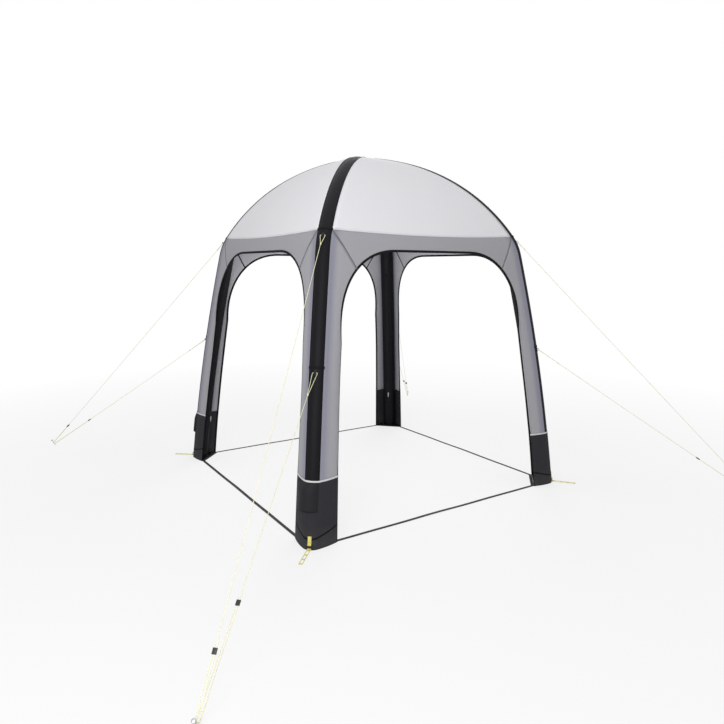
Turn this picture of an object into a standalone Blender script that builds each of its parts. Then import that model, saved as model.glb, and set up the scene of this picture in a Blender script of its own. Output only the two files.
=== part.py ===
"""Inflatable shelter: two air arches that cross at the crown, their cloth, boots, guy lines and pegs.

The origin is the middle of the footprint on the ground and +Z is up. The legs stand on the diagonals.
A leg's own frame has X outwards along its diagonal, Y sideways and Z up. A face's own frame has X
outwards through the middle of the opening, Y along the face and Z up. Sizes are in metres.
"""

import math

import bmesh
import bpy
from mathutils import Matrix, Vector

# Outer line of an arch in its upright plane: three arcs that meet without a kink
CROWN_HEIGHT = 2.6846
ROOF_RADIUS = 1.529
ROOF_SWEEP = math.radians(54.3)
SHOULDER_RADIUS = 0.42
SHOULDER_SWEEP = math.radians(22.2)
LEG_RADIUS = 16.0

# Air beams, and how they flatten where they cross
BEAM_RADIUS = 0.0645
BEAM_SIDES = 16
CROSSING_FLAT = 0.093
CROSSING_END = 0.26
CROSSING_SPREAD = 0.29
CROSSING_SINK = 0.0010

# Gaps between pieces that touch
CLEARANCE = 0.0003
CLOTH_SEAT = 0.0010
SEAM_GAP = 0.0004

# Cloth
CLOTH = 0.0015
BAND_WIDTH = 0.092
EAVE_SAG = 0.022
WING_AT_FOOT = 0.228
WING_AT_SPRING = 0.202
SPRING_HEIGHT = 1.30
WING_FOLD = 0.026
FOLD_HEIGHT = 0.90
OPENING_HEIGHT = 1.90
OPENING_FLAT = 0.33
OPENING_SQUARENESS = 2.3
PATCH_OVERLAP = 0.022
PATCH_LIFT = 0.0031

# Boots
BOOT_HEIGHT = 0.44
BOOT_TUCK = 0.02
BOOT_CLOTH = 0.002
BOOT_LIFT = 0.003
SOLE = 0.003
SOLE_LIP = 0.0005
SOLE_HEEL = 0.02

# Guy lines
UPPER_GUY_ABOVE_LEG = 0.0991
LOWER_GUY_HEIGHT = 1.13
PEG_REACH = 3.17
CORD_RADIUS = 0.0018
GUY_SAG = 0.004
WEB_LOOP_RADIUS = 0.008
WEB_LOOP_WIDTH = 0.018
WEBBING = 0.0015
STRAND_GAP = 0.011
PEG_TURN_RADIUS = 0.008
TAIL = 0.024
UPPER_RUNNER_FROM_PEG = 0.26
LOWER_RUNNER_FROM_PEG = 0.50
RUNNER_LENGTH = 0.026
RUNNER_WIDTH = 0.022
RUNNER_THICKNESS = 0.009
RUNNER_BORE = 0.0024

# Pegs, seen from the ground up
PEG_LEAN = math.radians(40.0)
PEG_RADIUS = 0.004
PEG_SHAFT = 0.058
PEG_HEAD_RADIUS = 0.010
PEG_HEAD = 0.012
UPPER_TURN_ON_PEG = 0.036
LOWER_TURN_ON_PEG = 0.020

# Ground strap round the footprint
STRAP_WIDTH = 0.025
STRAP = 0.002
STRAP_RISE = 0.0008
STRAP_CORNER = 0.04

# Foot tabs, their rings and the ladder straps
TAB_WIDTH = 0.025
TAB_HEIGHT = 0.055
TAB_THICKNESS = 0.0025
FOOT_RING_WIDTH = 0.038
FOOT_RING_HEIGHT = 0.026
FOOT_RING_WIRE = 0.002
FOOT_RING_BOTTOM = 0.0095
FOOT_RING_CORNER = 0.006
FOOT_LOOP_BORE = 0.0026
FOOT_LOOP_WALL = 0.0016
LADDER_LENGTH = 0.19
LADDER_THICKNESS = 0.003
LADDER_RUNG = 0.012
LADDER_SLOTS = 3

# Inflation valves, caps and flaps
VALVE_HEIGHT = 0.33
VALVE_FLANGE_RADIUS = 0.021
VALVE_FLANGE = 0.002
VALVE_RADIUS = 0.015
VALVE_NECK = 0.011
CAP_RADIUS = 0.017
CAP_HEIGHT = 0.009
CAP_GRIP = 0.004
VALVE_HOLE = 0.0225
FLAP_DROP = 0.012
FLAP_LENGTH = 0.18
FLAP_BULGE = 0.026
FLAP_SEAT = 0.0012
FLAP_WING = 0.09
FLAP_EDGE_TURN = math.radians(38.0)

# Zips on the inner side of the legs
ZIP_BOTTOM = 0.30
ZIP_TOP = 1.75
ZIP_WIDTH = 0.026
ZIP_TAPE = 0.0012
SLIDER_HEIGHT = 0.40
SLIDER_LENGTH = 0.030
SLIDER_WIDTH = 0.011
SLIDER_THICKNESS = 0.005
PULL_LENGTH = 0.034
PULL_WIDTH = 0.008
PULL_THICKNESS = 0.0025

# How finely the long shapes are divided
ROOF_STEPS = 7
SHOULDER_STEPS = 3
LEG_STEPS = 5
BAND_ARC_STEPS = 2
PANEL_STEPS = 3
FACE_SHARES = (0.8, 0.6, 0.4, 0.2, 0.0)

LEGS = {"front": 225.0, "right": 315.0, "back": 45.0, "left": 135.0}
FACES = {"front_right": 270.0, "back_right": 0.0, "back_left": 90.0, "front_left": 180.0}
VALVE_LEGS = ("front", "left")
SHOULDER_END = ROOF_SWEEP + SHOULDER_SWEEP
BAND_TOP = CLOTH_SEAT + CLOTH
ROOT_TWO = math.sqrt(2.0)


def arch_point(angle):
    """Distance from the middle and height of the outer line where its normal leans by angle."""
    reach, height, start = 0.0, CROWN_HEIGHT, 0.0
    for radius, sweep in ((ROOF_RADIUS, ROOF_SWEEP), (SHOULDER_RADIUS, SHOULDER_SWEEP), (LEG_RADIUS, math.pi)):
        end = min(angle, start + sweep)
        reach += radius * (math.sin(end) - math.sin(start))
        height += radius * (math.cos(end) - math.cos(start))
        start = end
    return reach, height


def tangent_turn(angle):
    """How far round the beam the level cloth of a face touches it."""
    return math.atan(math.sin(angle))


def skin_point(angle, turn, slide, lift):
    """A point over a leg: round the beam by turn, then level along the face by slide."""
    reach, height = arch_point(angle)
    out = (BEAM_RADIUS + lift) * math.cos(turn) - BEAM_RADIUS
    side = math.copysign(1.0, turn)
    return Vector((
        reach + out * math.sin(angle) - slide / ROOT_TWO,
        (BEAM_RADIUS + lift) * math.sin(turn) + side * slide / ROOT_TWO,
        height + out * math.cos(angle),
    ))


def face_point(angle, along, lift):
    """A point of a face's cloth, in the face's own frame."""
    edge = skin_point(angle, tangent_turn(angle), 0.0, lift)
    return Vector(((edge.x + edge.y) / ROOT_TWO, along, edge.z))


def face_height(angle):
    return face_point(angle, 0.0, 0.0).z


def outer_height(angle):
    return arch_point(angle)[1]


def solve(rule, target, low, high):
    """The angle at which a rule that only rises or only falls gives the target."""
    rising = rule(high) > rule(low)
    for _ in range(46):
        middle = (low + high) / 2
        if (rule(middle) < target) == rising:
            low = middle
        else:
            high = middle
    return (low + high) / 2


def face_angle(height):
    return solve(face_height, height, 0.01, 1.56)


def outer_angle(height):
    return solve(outer_height, height, 0.01, 1.56)


def band_slide(angle):
    """How far the band runs on along the face, past the line where the cloth leaves the beam."""
    turn = tangent_turn(angle)
    return ROOT_TWO * max(BAND_WIDTH / 2 - BEAM_RADIUS * math.sin(turn), CLOTH / 2)


def band_edge(angle):
    """Half the free width of a face between its two bands."""
    edge = skin_point(angle, tangent_turn(angle), band_slide(angle), 0.0)
    return (edge.x - edge.y) / ROOT_TWO


def wing_width(height):
    """Width of a wing, from the line where the two sides of a leg would meet to its free edge."""
    share = min(height / SPRING_HEIGHT, 1.0)
    return WING_AT_FOOT + (WING_AT_SPRING - WING_AT_FOOT) * share


def opening_half_width(height):
    """Half the width of the arch opening below its spring line."""
    return face_point(face_angle(height), 0.0, 0.0).x - wing_width(height)


def fold(height, free):
    """How far a wing comes in from its side's plane; free is 0 at the band and 1 at its free edge."""
    left = (OPENING_HEIGHT - height) / (OPENING_HEIGHT - FOLD_HEIGHT)
    left = min(max(left, 0.0), 1.0)
    return WING_FOLD * left * left * (3 - 2 * left) * free * free


def side_point(width, height, lift):
    """A point of a side's cloth, in the face's own frame."""
    angle = face_angle(height)
    edge = band_edge(angle)
    free = (edge - abs(width)) / (wing_width(height) - face_point(angle, 0.0, 0.0).x + edge)
    point = face_point(angle, width, lift)
    point.x -= fold(height, max(free, 0.0))
    return point


CROWN_ANGLE = solve(band_edge, 0.006, 0.01, ROOF_SWEEP)
FOOT_ANGLE = outer_angle(0.0)
LEG_TOP = outer_height(SHOULDER_END)
EAVE_HALF = band_edge(ROOF_SWEEP) - SEAM_GAP
BAND_BOTTOM = BOOT_HEIGHT - BOOT_TUCK


def roof_angles():
    return [CROWN_ANGLE + (ROOF_SWEEP - CROWN_ANGLE) * k / ROOF_STEPS for k in range(ROOF_STEPS + 1)]


def shoulder_angles():
    return [ROOF_SWEEP + SHOULDER_SWEEP * k / SHOULDER_STEPS for k in range(1, SHOULDER_STEPS + 1)]


def leg_angles():
    drop = LEG_TOP - BAND_BOTTOM
    return [outer_angle(LEG_TOP - drop * k / LEG_STEPS) for k in range(1, LEG_STEPS + 1)]


def eave_height(share):
    """The eave seam hangs a little between the legs; share is 0 in the middle and 1 at a band."""
    return face_height(ROOF_SWEEP) - EAVE_SAG * (1 - share * share)


def opening_outline():
    """Half of the arch opening, from its foot to the middle of its top, as width and height."""
    stations = [face_height(angle) for angle in reversed(shoulder_angles() + leg_angles())]
    below = [height for height in stations if height < SPRING_HEIGHT]
    corners = len(stations) + 1 + len(FACE_SHARES) - len(below) - 2
    points = [(opening_half_width(height), height) for height in below]
    width = opening_half_width(SPRING_HEIGHT) - OPENING_FLAT
    rise = OPENING_HEIGHT - SPRING_HEIGHT
    for k in range(1, corners + 1):
        angle = math.radians(90.0) * k / corners
        across = max(math.cos(angle), 0.0) ** (2 / OPENING_SQUARENESS)
        up = math.sin(angle) ** (2 / OPENING_SQUARENESS)
        points.append((OPENING_FLAT + width * across, SPRING_HEIGHT + rise * up))
    points.append((OPENING_FLAT / 2, OPENING_HEIGHT))
    points.append((0.0, OPENING_HEIGHT))
    return points


def material(name, colour, roughness, metallic=0.0):
    made = bpy.data.materials.new(name)
    made.use_nodes = True
    shader = made.node_tree.nodes["Principled BSDF"]
    shader.inputs["Base Color"].default_value = (*colour, 1.0)
    shader.inputs["Roughness"].default_value = roughness
    shader.inputs["Metallic"].default_value = metallic
    return made


def set_up():
    """Empties the scene and makes the collections and the materials."""
    for old in list(bpy.data.objects):
        bpy.data.objects.remove(old, do_unlink=True)
    for name in ("inflatable_shelter", "cutters"):
        collection = bpy.data.collections.new(name)
        bpy.context.scene.collection.children.link(collection)
    return {
        "sleeve": material("black_sleeve", (0.020, 0.020, 0.025), 0.75),
        "roof": material("roof_cloth", (0.70, 0.72, 0.78), 0.65),
        "side": material("side_cloth", (0.24, 0.24, 0.27), 0.70),
        "boot": material("boot_cloth", (0.045, 0.045, 0.052), 0.80),
        "yellow": material("yellow_webbing", (0.80, 0.74, 0.28), 0.75),
        "cord": material("guy_cord", (0.78, 0.75, 0.48), 0.70),
        "webbing": material("dark_webbing", (0.030, 0.030, 0.034), 0.80),
        "plastic": material("black_plastic", (0.015, 0.015, 0.016), 0.40),
        "steel": material("galvanised_steel", (0.55, 0.56, 0.58), 0.35, 1.0),
        "pull": material("grey_zip_pull", (0.50, 0.50, 0.52), 0.50),
    }


def add(name, mesh, finish, azimuth=0.0, pivot=(0, 0, 0)):
    """Places a mesh that is drawn round its pivot in a leg's or a face's own frame."""
    made = bpy.data.objects.new(name, mesh)
    bpy.data.collections["inflatable_shelter"].objects.link(made)
    turn = Matrix.Rotation(math.radians(azimuth), 4, "Z")
    made.location = turn @ Vector(pivot)
    made.rotation_euler.z = math.radians(azimuth)
    if finish:
        mesh.materials.clear()
        mesh.materials.append(finish)
    return made


def as_cutter(made):
    """Moves an object to the cutters and hides it from renders."""
    bpy.data.collections["inflatable_shelter"].objects.unlink(made)
    bpy.data.collections["cutters"].objects.link(made)
    made.hide_render = True
    made.display_type = "WIRE"
    return made


def boolean(made, operation, other):
    cut = made.modifiers.new(operation.lower(), "BOOLEAN")
    cut.operation = operation
    cut.object = other


def freeze(made, name):
    """The object's evaluated mesh in place, without the object."""
    bpy.context.view_layer.update()
    seen = made.evaluated_get(bpy.context.evaluated_depsgraph_get())
    mesh = bpy.data.meshes.new_from_object(seen)
    mesh.transform(made.matrix_world)
    mesh.name = name
    work = bmesh.new()
    work.from_mesh(mesh)
    bmesh.ops.remove_doubles(work, verts=work.verts, dist=0.00001)
    bmesh.ops.recalc_face_normals(work, faces=work.faces)
    work.to_mesh(mesh)
    work.free()
    bpy.data.objects.remove(made, do_unlink=True)
    return mesh


def combine(made, joins=(), cuts=()):
    """The object's mesh with others joined to it and cut from it, without any of the objects."""
    helpers = []
    for operation, others in (("UNION", joins), ("DIFFERENCE", cuts)):
        for other in others:
            helpers.append(as_cutter(add(other.name, other, None)))
            boolean(made, operation, helpers[-1])
    mesh = freeze(made, made.name)
    for helper in helpers:
        bpy.data.objects.remove(helper, do_unlink=True)
    return mesh


def frozen(name, drawn):
    """A mesh from a curve, or from a mesh that is already in place."""
    return freeze(add(name, drawn, None), name)


def finish_mesh(work, name, smooth_angle=40.0):
    mesh = bpy.data.meshes.new(name)
    work.to_mesh(mesh)
    work.free()
    mesh.shade_smooth()
    mesh.set_sharp_from_angle(angle=math.radians(smooth_angle))
    return mesh


def grid_mesh(name, rows):
    """A cloth surface through rows of points; rows run down and each row runs towards +Y."""
    work = bmesh.new()
    verts = [[work.verts.new(point) for point in row] for row in rows]
    for upper, lower in zip(verts, verts[1:]):
        for k in range(len(upper) - 1):
            work.faces.new((upper[k], lower[k], lower[k + 1], upper[k + 1]))
    return finish_mesh(work, name)


def thicken(made, thickness):
    solid = made.modifiers.new("cloth", "SOLIDIFY")
    solid.thickness = thickness
    solid.offset = 1.0


def loft_mesh(name, rings):
    """A closed skin over rings of points with a flat cap at each end."""
    work = bmesh.new()
    verts = [[work.verts.new(point) for point in ring] for ring in rings]
    count = len(rings[0])
    for ring, following in zip(verts, verts[1:]):
        for k in range(count):
            work.faces.new((ring[k], ring[(k + 1) % count], following[(k + 1) % count], following[k]))
    work.faces.new(reversed(verts[0]))
    work.faces.new(verts[-1])
    bmesh.ops.recalc_face_normals(work, faces=work.faces)
    return finish_mesh(work, name)


def box_mesh(name, size, centre=(0, 0, 0), bevel=0.0):
    work = bmesh.new()
    place = Matrix.Translation(Vector(centre)) @ Matrix.Diagonal((*size, 1.0))
    bmesh.ops.create_cube(work, size=1.0, matrix=place)
    if bevel:
        bmesh.ops.bevel(work, geom=work.edges, offset=bevel, segments=1, affect="EDGES")
    return finish_mesh(work, name, 20.0)


def rod_mesh(name, radius, length, place, sides=16):
    """A round bar along the placed Z axis."""
    work = bmesh.new()
    bmesh.ops.create_cone(
        work, cap_ends=True, segments=sides, radius1=radius, radius2=radius, depth=length, matrix=place
    )
    return finish_mesh(work, name)


def turned(name, profile, steps):
    """A turned solid: a profile of radius and height, from its top down, spun about Z."""
    work = bmesh.new()
    verts = [work.verts.new((radius, 0.0, height)) for radius, height in profile]
    for upper, lower in zip(verts, verts[1:]):
        work.edges.new((upper, lower))
    made = add(name, finish_mesh(work, name), None)
    screw = made.modifiers.new("turn", "SCREW")
    screw.steps = steps
    screw.render_steps = steps
    screw.use_merge_vertices = True
    screw.merge_threshold = 0.00001
    return made


def tube(name, points, radius, resolution, closed=False):
    """A round cord, wire or binding along the points."""
    curve = bpy.data.curves.new(name, "CURVE")
    curve.dimensions = "3D"
    curve.bevel_depth = radius
    curve.bevel_resolution = resolution
    curve.use_fill_caps = not closed
    spline = curve.splines.new("POLY")
    spline.points.add(len(points) - 1)
    for slot, point in zip(spline.points, points):
        slot.co = (*point, 1.0)
    spline.use_cyclic_u = closed
    return curve


def flat_outline(name, outlines, thickness):
    """A flat piece: outlines in plan, the first outside and the others holes, with a thickness."""
    curve = bpy.data.curves.new(name, "CURVE")
    curve.dimensions = "2D"
    curve.fill_mode = "BOTH"
    curve.extrude = thickness / 2
    for outline in outlines:
        spline = curve.splines.new("POLY")
        spline.points.add(len(outline) - 1)
        for slot, point in zip(spline.points, outline):
            slot.co = (point[0], point[1], 0.0, 1.0)
        spline.use_cyclic_u = True
    return curve


def pipe_mesh(name, bore, wall, width, centre):
    """A short webbing loop whose bore runs along Y."""
    work = bmesh.new()
    place = Matrix.Translation(Vector(centre)) @ Matrix.Rotation(math.radians(90), 4, "X")
    bmesh.ops.create_cone(
        work, cap_ends=False, segments=10, radius1=bore, radius2=bore, depth=width, matrix=place
    )
    made = add(name, finish_mesh(work, name), None)
    thicken(made, wall)
    return freeze(made, name)


def crossing_share(reach):
    """1 where the beams lie on each other at the crown, 0 where they are round again."""
    share = (CROSSING_END - reach) / (CROSSING_END - CROSSING_FLAT)
    share = min(max(share, 0.0), 1.0)
    return share * share * (3 - 2 * share)


def beam_ring(angle, side, under):
    reach, height = arch_point(angle)
    squash = crossing_share(reach)
    half_height = BEAM_RADIUS - squash * (BEAM_RADIUS / 2 + CLEARANCE / 4)
    half_width = BEAM_RADIUS * (1 + CROSSING_SPREAD * squash)
    depth = (2 * BEAM_RADIUS - half_height if under else half_height) + CROSSING_SINK * squash
    ring = []
    for k in range(BEAM_SIDES):
        turn = 2 * math.pi * k / BEAM_SIDES
        out = half_height * math.cos(turn) - depth
        point = Vector((side * (reach + out * math.sin(angle)), half_width * math.sin(turn), 0.0))
        point.z = height + out * math.cos(angle)
        ring.append(point)
    return ring


def foot_ring(side):
    """The beam's last ring, carried down its own slope to the sole."""
    ring = beam_ring(FOOT_ANGLE, side, False)
    rest = SOLE + CLEARANCE
    for point in ring:
        point.x += side * (point.z - rest) / math.tan(FOOT_ANGLE)
        point.z = rest
    return ring


def air_beams(looks):
    angles = [CROWN_ANGLE / 2] + roof_angles() + shoulder_angles() + leg_angles() + [outer_angle(BAND_BOTTOM / 2)]
    for name, azimuth, under in (("air_beam_front_back", 45.0, False), ("air_beam_left_right", 135.0, True)):
        rings = [foot_ring(-1.0)]
        rings += [beam_ring(angle, -1.0, under) for angle in reversed(angles)]
        rings.append(beam_ring(0.0, 1.0, under))
        rings += [beam_ring(angle, 1.0, under) for angle in angles]
        rings.append(foot_ring(1.0))
        sleeve = add(name, loft_mesh(name, rings), None)
        add(name, combine(sleeve, joins=zip_tapes()), looks["sleeve"], azimuth)


def band_row(angle, lift):
    turn = tangent_turn(angle)
    row = [skin_point(angle, -turn, band_slide(angle), lift)]
    for k in range(-BAND_ARC_STEPS, BAND_ARC_STEPS + 1):
        row.append(skin_point(angle, turn * k / BAND_ARC_STEPS, 0.0, lift))
    row.append(skin_point(angle, turn, band_slide(angle), lift))
    return row


def bands(looks):
    """The outer band of each sleeve, with the two webbing loops sewn on it for the guy lines."""
    angles = roof_angles() + shoulder_angles() + leg_angles()
    cloth = add("beam_band", grid_mesh("beam_band", [band_row(angle, CLOTH_SEAT) for angle in angles]), None)
    thicken(cloth, CLOTH)
    loops = []
    for height, on_peg, _ in GUYS.values():
        centre = guy_frame(height, on_peg)[0]
        loops.append(pipe_mesh("guy_loop", WEB_LOOP_RADIUS - WEBBING, WEBBING, WEB_LOOP_WIDTH, centre))
    mesh = combine(cloth, joins=loops)
    for leg, azimuth in LEGS.items():
        add("beam_band_" + leg, mesh, looks["sleeve"], azimuth)


def crown_patch(looks):
    """A square of sleeve cloth over the crossing, with its corners on the four bands."""
    work = bmesh.new()
    edge_angle = CROWN_ANGLE + PATCH_OVERLAP / ROOF_RADIUS
    rings = []
    for angle in (CROWN_ANGLE / 2, CROWN_ANGLE, edge_angle):
        ring = []
        for azimuth in sorted(LEGS.values()):
            leg_turn = Matrix.Rotation(math.radians(azimuth), 3, "Z")
            face_turn = Matrix.Rotation(math.radians(azimuth + 45.0), 3, "Z")
            ring.append(work.verts.new(leg_turn @ skin_point(angle, 0.0, 0.0, PATCH_LIFT)))
            ring.append(work.verts.new(face_turn @ face_point(angle, 0.0, PATCH_LIFT)))
        rings.append(ring)
    top = work.verts.new((0.0, 0.0, CROWN_HEIGHT + PATCH_LIFT))
    count = len(rings[0])
    for k in range(count):
        following = (k + 1) % count
        work.faces.new((top, rings[0][k], rings[0][following]))
        for inner, outer in zip(rings, rings[1:]):
            work.faces.new((inner[k], outer[k], outer[following], inner[following]))
    thicken(add("crown_patch", finish_mesh(work, "crown_patch"), looks["sleeve"]), CLOTH)


def roof_panels(looks):
    shares = [-1.0] + [-share for share in FACE_SHARES[:-1]] + list(reversed(FACE_SHARES)) + [1.0]
    rows = []
    for angle in roof_angles()[:-1]:
        half = band_edge(angle) - SEAM_GAP
        rows.append([face_point(angle, share * half, CLOTH_SEAT) for share in shares])
    eave = []
    for share in shares:
        angle = face_angle(eave_height(share) + SEAM_GAP / 2)
        eave.append(face_point(angle, share * EAVE_HALF, CLOTH_SEAT))
    rows.append(eave)
    mesh = grid_mesh("roof_panel", rows)
    for face, azimuth in FACES.items():
        thicken(add("roof_panel_" + face, mesh, looks["roof"], azimuth), CLOTH)


def side_rim():
    """Half of a side panel's outer edge, from the boot up a band and along the eave to the middle."""
    rim = []
    for angle in reversed(shoulder_angles() + leg_angles()):
        rim.append((band_edge(angle) - SEAM_GAP, face_height(angle)))
    for share in (1.0, *FACE_SHARES):
        rim.append((EAVE_HALF * share, eave_height(share) - SEAM_GAP / 2))
    return rim


def side_panels(looks):
    """A side with its arch opening and its two wings."""
    rim = side_rim()
    outline = opening_outline()
    half = []
    for (outer_width, outer_z), (inner_width, inner_z) in zip(rim, outline):
        row = []
        for step in range(PANEL_STEPS + 1):
            share = step / PANEL_STEPS
            width = outer_width + (inner_width - outer_width) * share
            height = outer_z + (inner_z - outer_z) * share
            row.append(side_point(width, height, CLOTH_SEAT))
        half.append(row)
    mirrored = [[Vector((p.x, -p.y, p.z)) for p in row] for row in half]
    mesh = grid_mesh("side_panel", half + mirrored[-2::-1])
    for face, azimuth in FACES.items():
        thicken(add("side_panel_" + face, mesh, looks["side"], azimuth), CLOTH)


def boot_wing(height, side, lift):
    """Points of a boot at one height along one wing, from the beam outwards."""
    angle = face_angle(height)
    turn = tangent_turn(angle)
    tangent = skin_point(angle, turn, 0.0, 0.0)
    wing = (tangent.x - tangent.y) / ROOT_TWO - opening_half_width(height)
    start = band_slide(angle)
    points = []
    for step in range(1, PANEL_STEPS + 1):
        slide = wing * step / PANEL_STEPS
        inward = fold(height, (slide - start) / (wing - start)) / ROOT_TWO
        points.append(skin_point(angle, side * turn, slide, lift) - Vector((inward, side * inward, 0.0)))
    return points


def boot_row(height, lift):
    """A level line round the boot, from one wing's end round the beam to the other's."""
    angle = face_angle(height)
    turn = tangent_turn(angle)
    row = list(reversed(boot_wing(height, -1.0, lift)))
    for k in range(-BAND_ARC_STEPS, BAND_ARC_STEPS + 1):
        row.append(skin_point(angle, turn * k / BAND_ARC_STEPS, 0.0, lift))
    return row + boot_wing(height, 1.0, lift)


def sole_outline():
    row = boot_row(0.0, BOOT_LIFT + BOOT_CLOTH + SOLE_LIP)
    heel = Vector((foot_centre() - BEAM_RADIUS - SOLE_HEEL, 0.0))
    return [Vector((p.x, p.y)) for p in row] + [heel]


def foot_centre():
    """Distance from the middle to the centre of a beam's foot."""
    return sum(point.x for point in foot_ring(1.0)) / BEAM_SIDES


def sole_mesh():
    sole = frozen("sole", flat_outline("sole", [sole_outline()], SOLE))
    sole.transform(Matrix.Translation((0.0, 0.0, SOLE / 2)))
    return sole


def valve_place(out):
    """Where something stands on the valve's axis, at a distance from the beam's centre line."""
    angle = outer_angle(VALVE_HEIGHT)
    reach, height = arch_point(angle)
    normal = Vector((math.sin(angle), 0.0, math.cos(angle)))
    centre = Vector((reach, 0.0, height)) - normal * BEAM_RADIUS
    turn = -1.5 * 2 * math.pi / BEAM_SIDES
    axis = normal * math.cos(turn) + Vector((0.0, math.sin(turn), 0.0))
    return centre + axis * out, axis


def valve_matrix(out):
    point, axis = valve_place(out)
    return Matrix.Translation(point) @ axis.to_track_quat("Z", "Y").to_matrix().to_4x4()


def boots(looks):
    """A boot with its sole and the yellow tab on its corner."""
    heights = [SOLE / 2] + [BOOT_HEIGHT * k / 3 for k in range(1, 4)]
    rows = [boot_row(height, BOOT_LIFT) for height in reversed(heights)]
    for point in rows[-1]:
        point.z = SOLE / 2
    wall = grid_mesh("boot", rows)
    hole = rod_mesh("valve_hole", VALVE_HOLE, 2 * BEAM_RADIUS, valve_matrix(BEAM_RADIUS * 1.5), 16)
    joins = [sole_mesh(), *tab_meshes()]
    meshes = {}
    for with_valve in (False, True):
        cloth = add("boot", wall, None)
        thicken(cloth, BOOT_CLOTH)
        meshes[with_valve] = combine(cloth, joins, [hole] if with_valve else ())
    for leg, azimuth in LEGS.items():
        add("boot_" + leg, meshes[leg in VALVE_LEGS], looks["boot"], azimuth)


def guy_frame(height, on_peg):
    """The centre of a guy's webbing loop, its turn round the peg, and the pull between them."""
    angle = outer_angle(height)
    loop = skin_point(angle, 0.0, 0.0, BAND_TOP + WEB_LOOP_RADIUS - WEBBING)
    turn = Vector((PEG_REACH, 0.0, 0.0)) + on_peg * Vector((math.sin(PEG_LEAN), 0.0, math.cos(PEG_LEAN)))
    return loop, turn, (turn - loop).normalized()


def guy_point(height, on_peg, from_peg):
    """A point of the guy's middle line with its small sag, and the way the line runs there."""
    loop, turn, pull = guy_frame(height, on_peg)
    start = loop + pull * (WEB_LOOP_RADIUS + CLEARANCE)
    length = (turn - start).length
    share = from_peg / length
    sag = 4 * GUY_SAG * share * (1 - share)
    slope = 4 * GUY_SAG * (1 - 2 * share) / length
    point = turn - pull * from_peg - Vector((0.0, 0.0, sag))
    way = (-pull - Vector((0.0, 0.0, slope))).normalized()
    return point, way


def guy_length(height, on_peg):
    loop, turn, _ = guy_frame(height, on_peg)
    return (turn - loop).length - (WEB_LOOP_RADIUS + CLEARANCE)


def guy_route(height, on_peg, runner):
    """From the ring down through the runner, round the peg and back to the tail's end."""
    length = guy_length(height, on_peg)
    side = Vector((0.0, STRAND_GAP / 2, 0.0))
    wide = Vector((0.0, PEG_TURN_RADIUS, 0.0))
    slack = 3 * RUNNER_LENGTH
    route = []
    for k in range(5):
        route.append(guy_point(height, on_peg, length + (runner + slack - length) * k / 4)[0])
    for distance in (runner + RUNNER_LENGTH, runner, runner - RUNNER_LENGTH, runner * 0.55):
        route.append(guy_point(height, on_peg, distance)[0] + side)
    pull = guy_frame(height, on_peg)[2]
    centre = guy_frame(height, on_peg)[1] - pull * (PEG_TURN_RADIUS - PEG_RADIUS - CORD_RADIUS - CLEARANCE)
    route.append(centre - pull * runner * 0.12 + wide)
    for k in range(5):
        turn = math.pi * k / 4
        route.append(centre + wide * math.cos(turn) + pull * PEG_TURN_RADIUS * math.sin(turn))
    route.append(centre - pull * runner * 0.12 - wide)
    for distance in (runner * 0.55, runner - RUNNER_LENGTH, runner, runner + TAIL):
        route.append(guy_point(height, on_peg, distance)[0] - side)
    return route


GUYS = {
    "upper": (LEG_TOP + UPPER_GUY_ABOVE_LEG, UPPER_TURN_ON_PEG, UPPER_RUNNER_FROM_PEG),
    "lower": (LOWER_GUY_HEIGHT, LOWER_TURN_ON_PEG, LOWER_RUNNER_FROM_PEG),
}


def guy_lines(looks):
    for place, (height, on_peg, runner) in GUYS.items():
        curve = tube("guy_line", guy_route(height, on_peg, runner), CORD_RADIUS, 2)
        for leg, azimuth in LEGS.items():
            add("guy_line_" + leg + "_" + place, curve, looks["cord"], azimuth)


def runner_mesh():
    """A small block with two bores along its length, X, for the line and for its returning tail."""
    size = (RUNNER_LENGTH, RUNNER_WIDTH, RUNNER_THICKNESS)
    block = add("guy_runner", box_mesh("guy_runner", size), None)
    bores = []
    for side in (-1.0, 1.0):
        place = Matrix.Translation((0.0, side * STRAND_GAP / 2, 0.0)) @ Matrix.Rotation(math.radians(90), 4, "Y")
        bores.append(rod_mesh("runner_bore", RUNNER_BORE, 2 * RUNNER_LENGTH, place, 8))
    return combine(block, cuts=bores)


def runners(looks):
    mesh = runner_mesh()
    for place, (height, on_peg, from_peg) in GUYS.items():
        point, way = guy_point(height, on_peg, from_peg)
        lean = math.atan2(-way.z, way.x)
        for leg, azimuth in LEGS.items():
            made = add("guy_runner_" + leg + "_" + place, mesh, looks["plastic"], azimuth, point)
            turn = Matrix.Rotation(math.radians(azimuth), 4, "Z") @ Matrix.Rotation(lean, 4, "Y")
            made.rotation_euler = turn.to_euler()


def pegs(looks):
    """The part of each peg that stands out of the ground, leaning away from the shelter."""
    top = PEG_SHAFT + PEG_HEAD
    profile = [
        (0.0, top), (PEG_HEAD_RADIUS * 0.7, top), (PEG_HEAD_RADIUS, top - PEG_HEAD * 0.35),
        (PEG_HEAD_RADIUS, PEG_SHAFT + PEG_HEAD * 0.2), (PEG_RADIUS, PEG_SHAFT),
        (PEG_RADIUS, -2 * PEG_RADIUS), (0.0, -2 * PEG_RADIUS),
    ]
    made = turned("peg", profile, 10)
    made.rotation_euler.y = PEG_LEAN
    ground = (8 * PEG_HEAD_RADIUS, 8 * PEG_HEAD_RADIUS, 4 * PEG_HEAD_RADIUS)
    mesh = combine(made, cuts=[box_mesh("ground", ground, (0, 0, -ground[2] / 2))])
    for leg, azimuth in LEGS.items():
        add("peg_" + leg, mesh, looks["steel"], azimuth, (PEG_REACH, 0.0, 0.0))


def mitre(point, first, second, width):
    """The corner of a line moved sideways by width from a corner between two sideways directions."""
    return point + (first + second) * (width / (1 + first.dot(second)))


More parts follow.
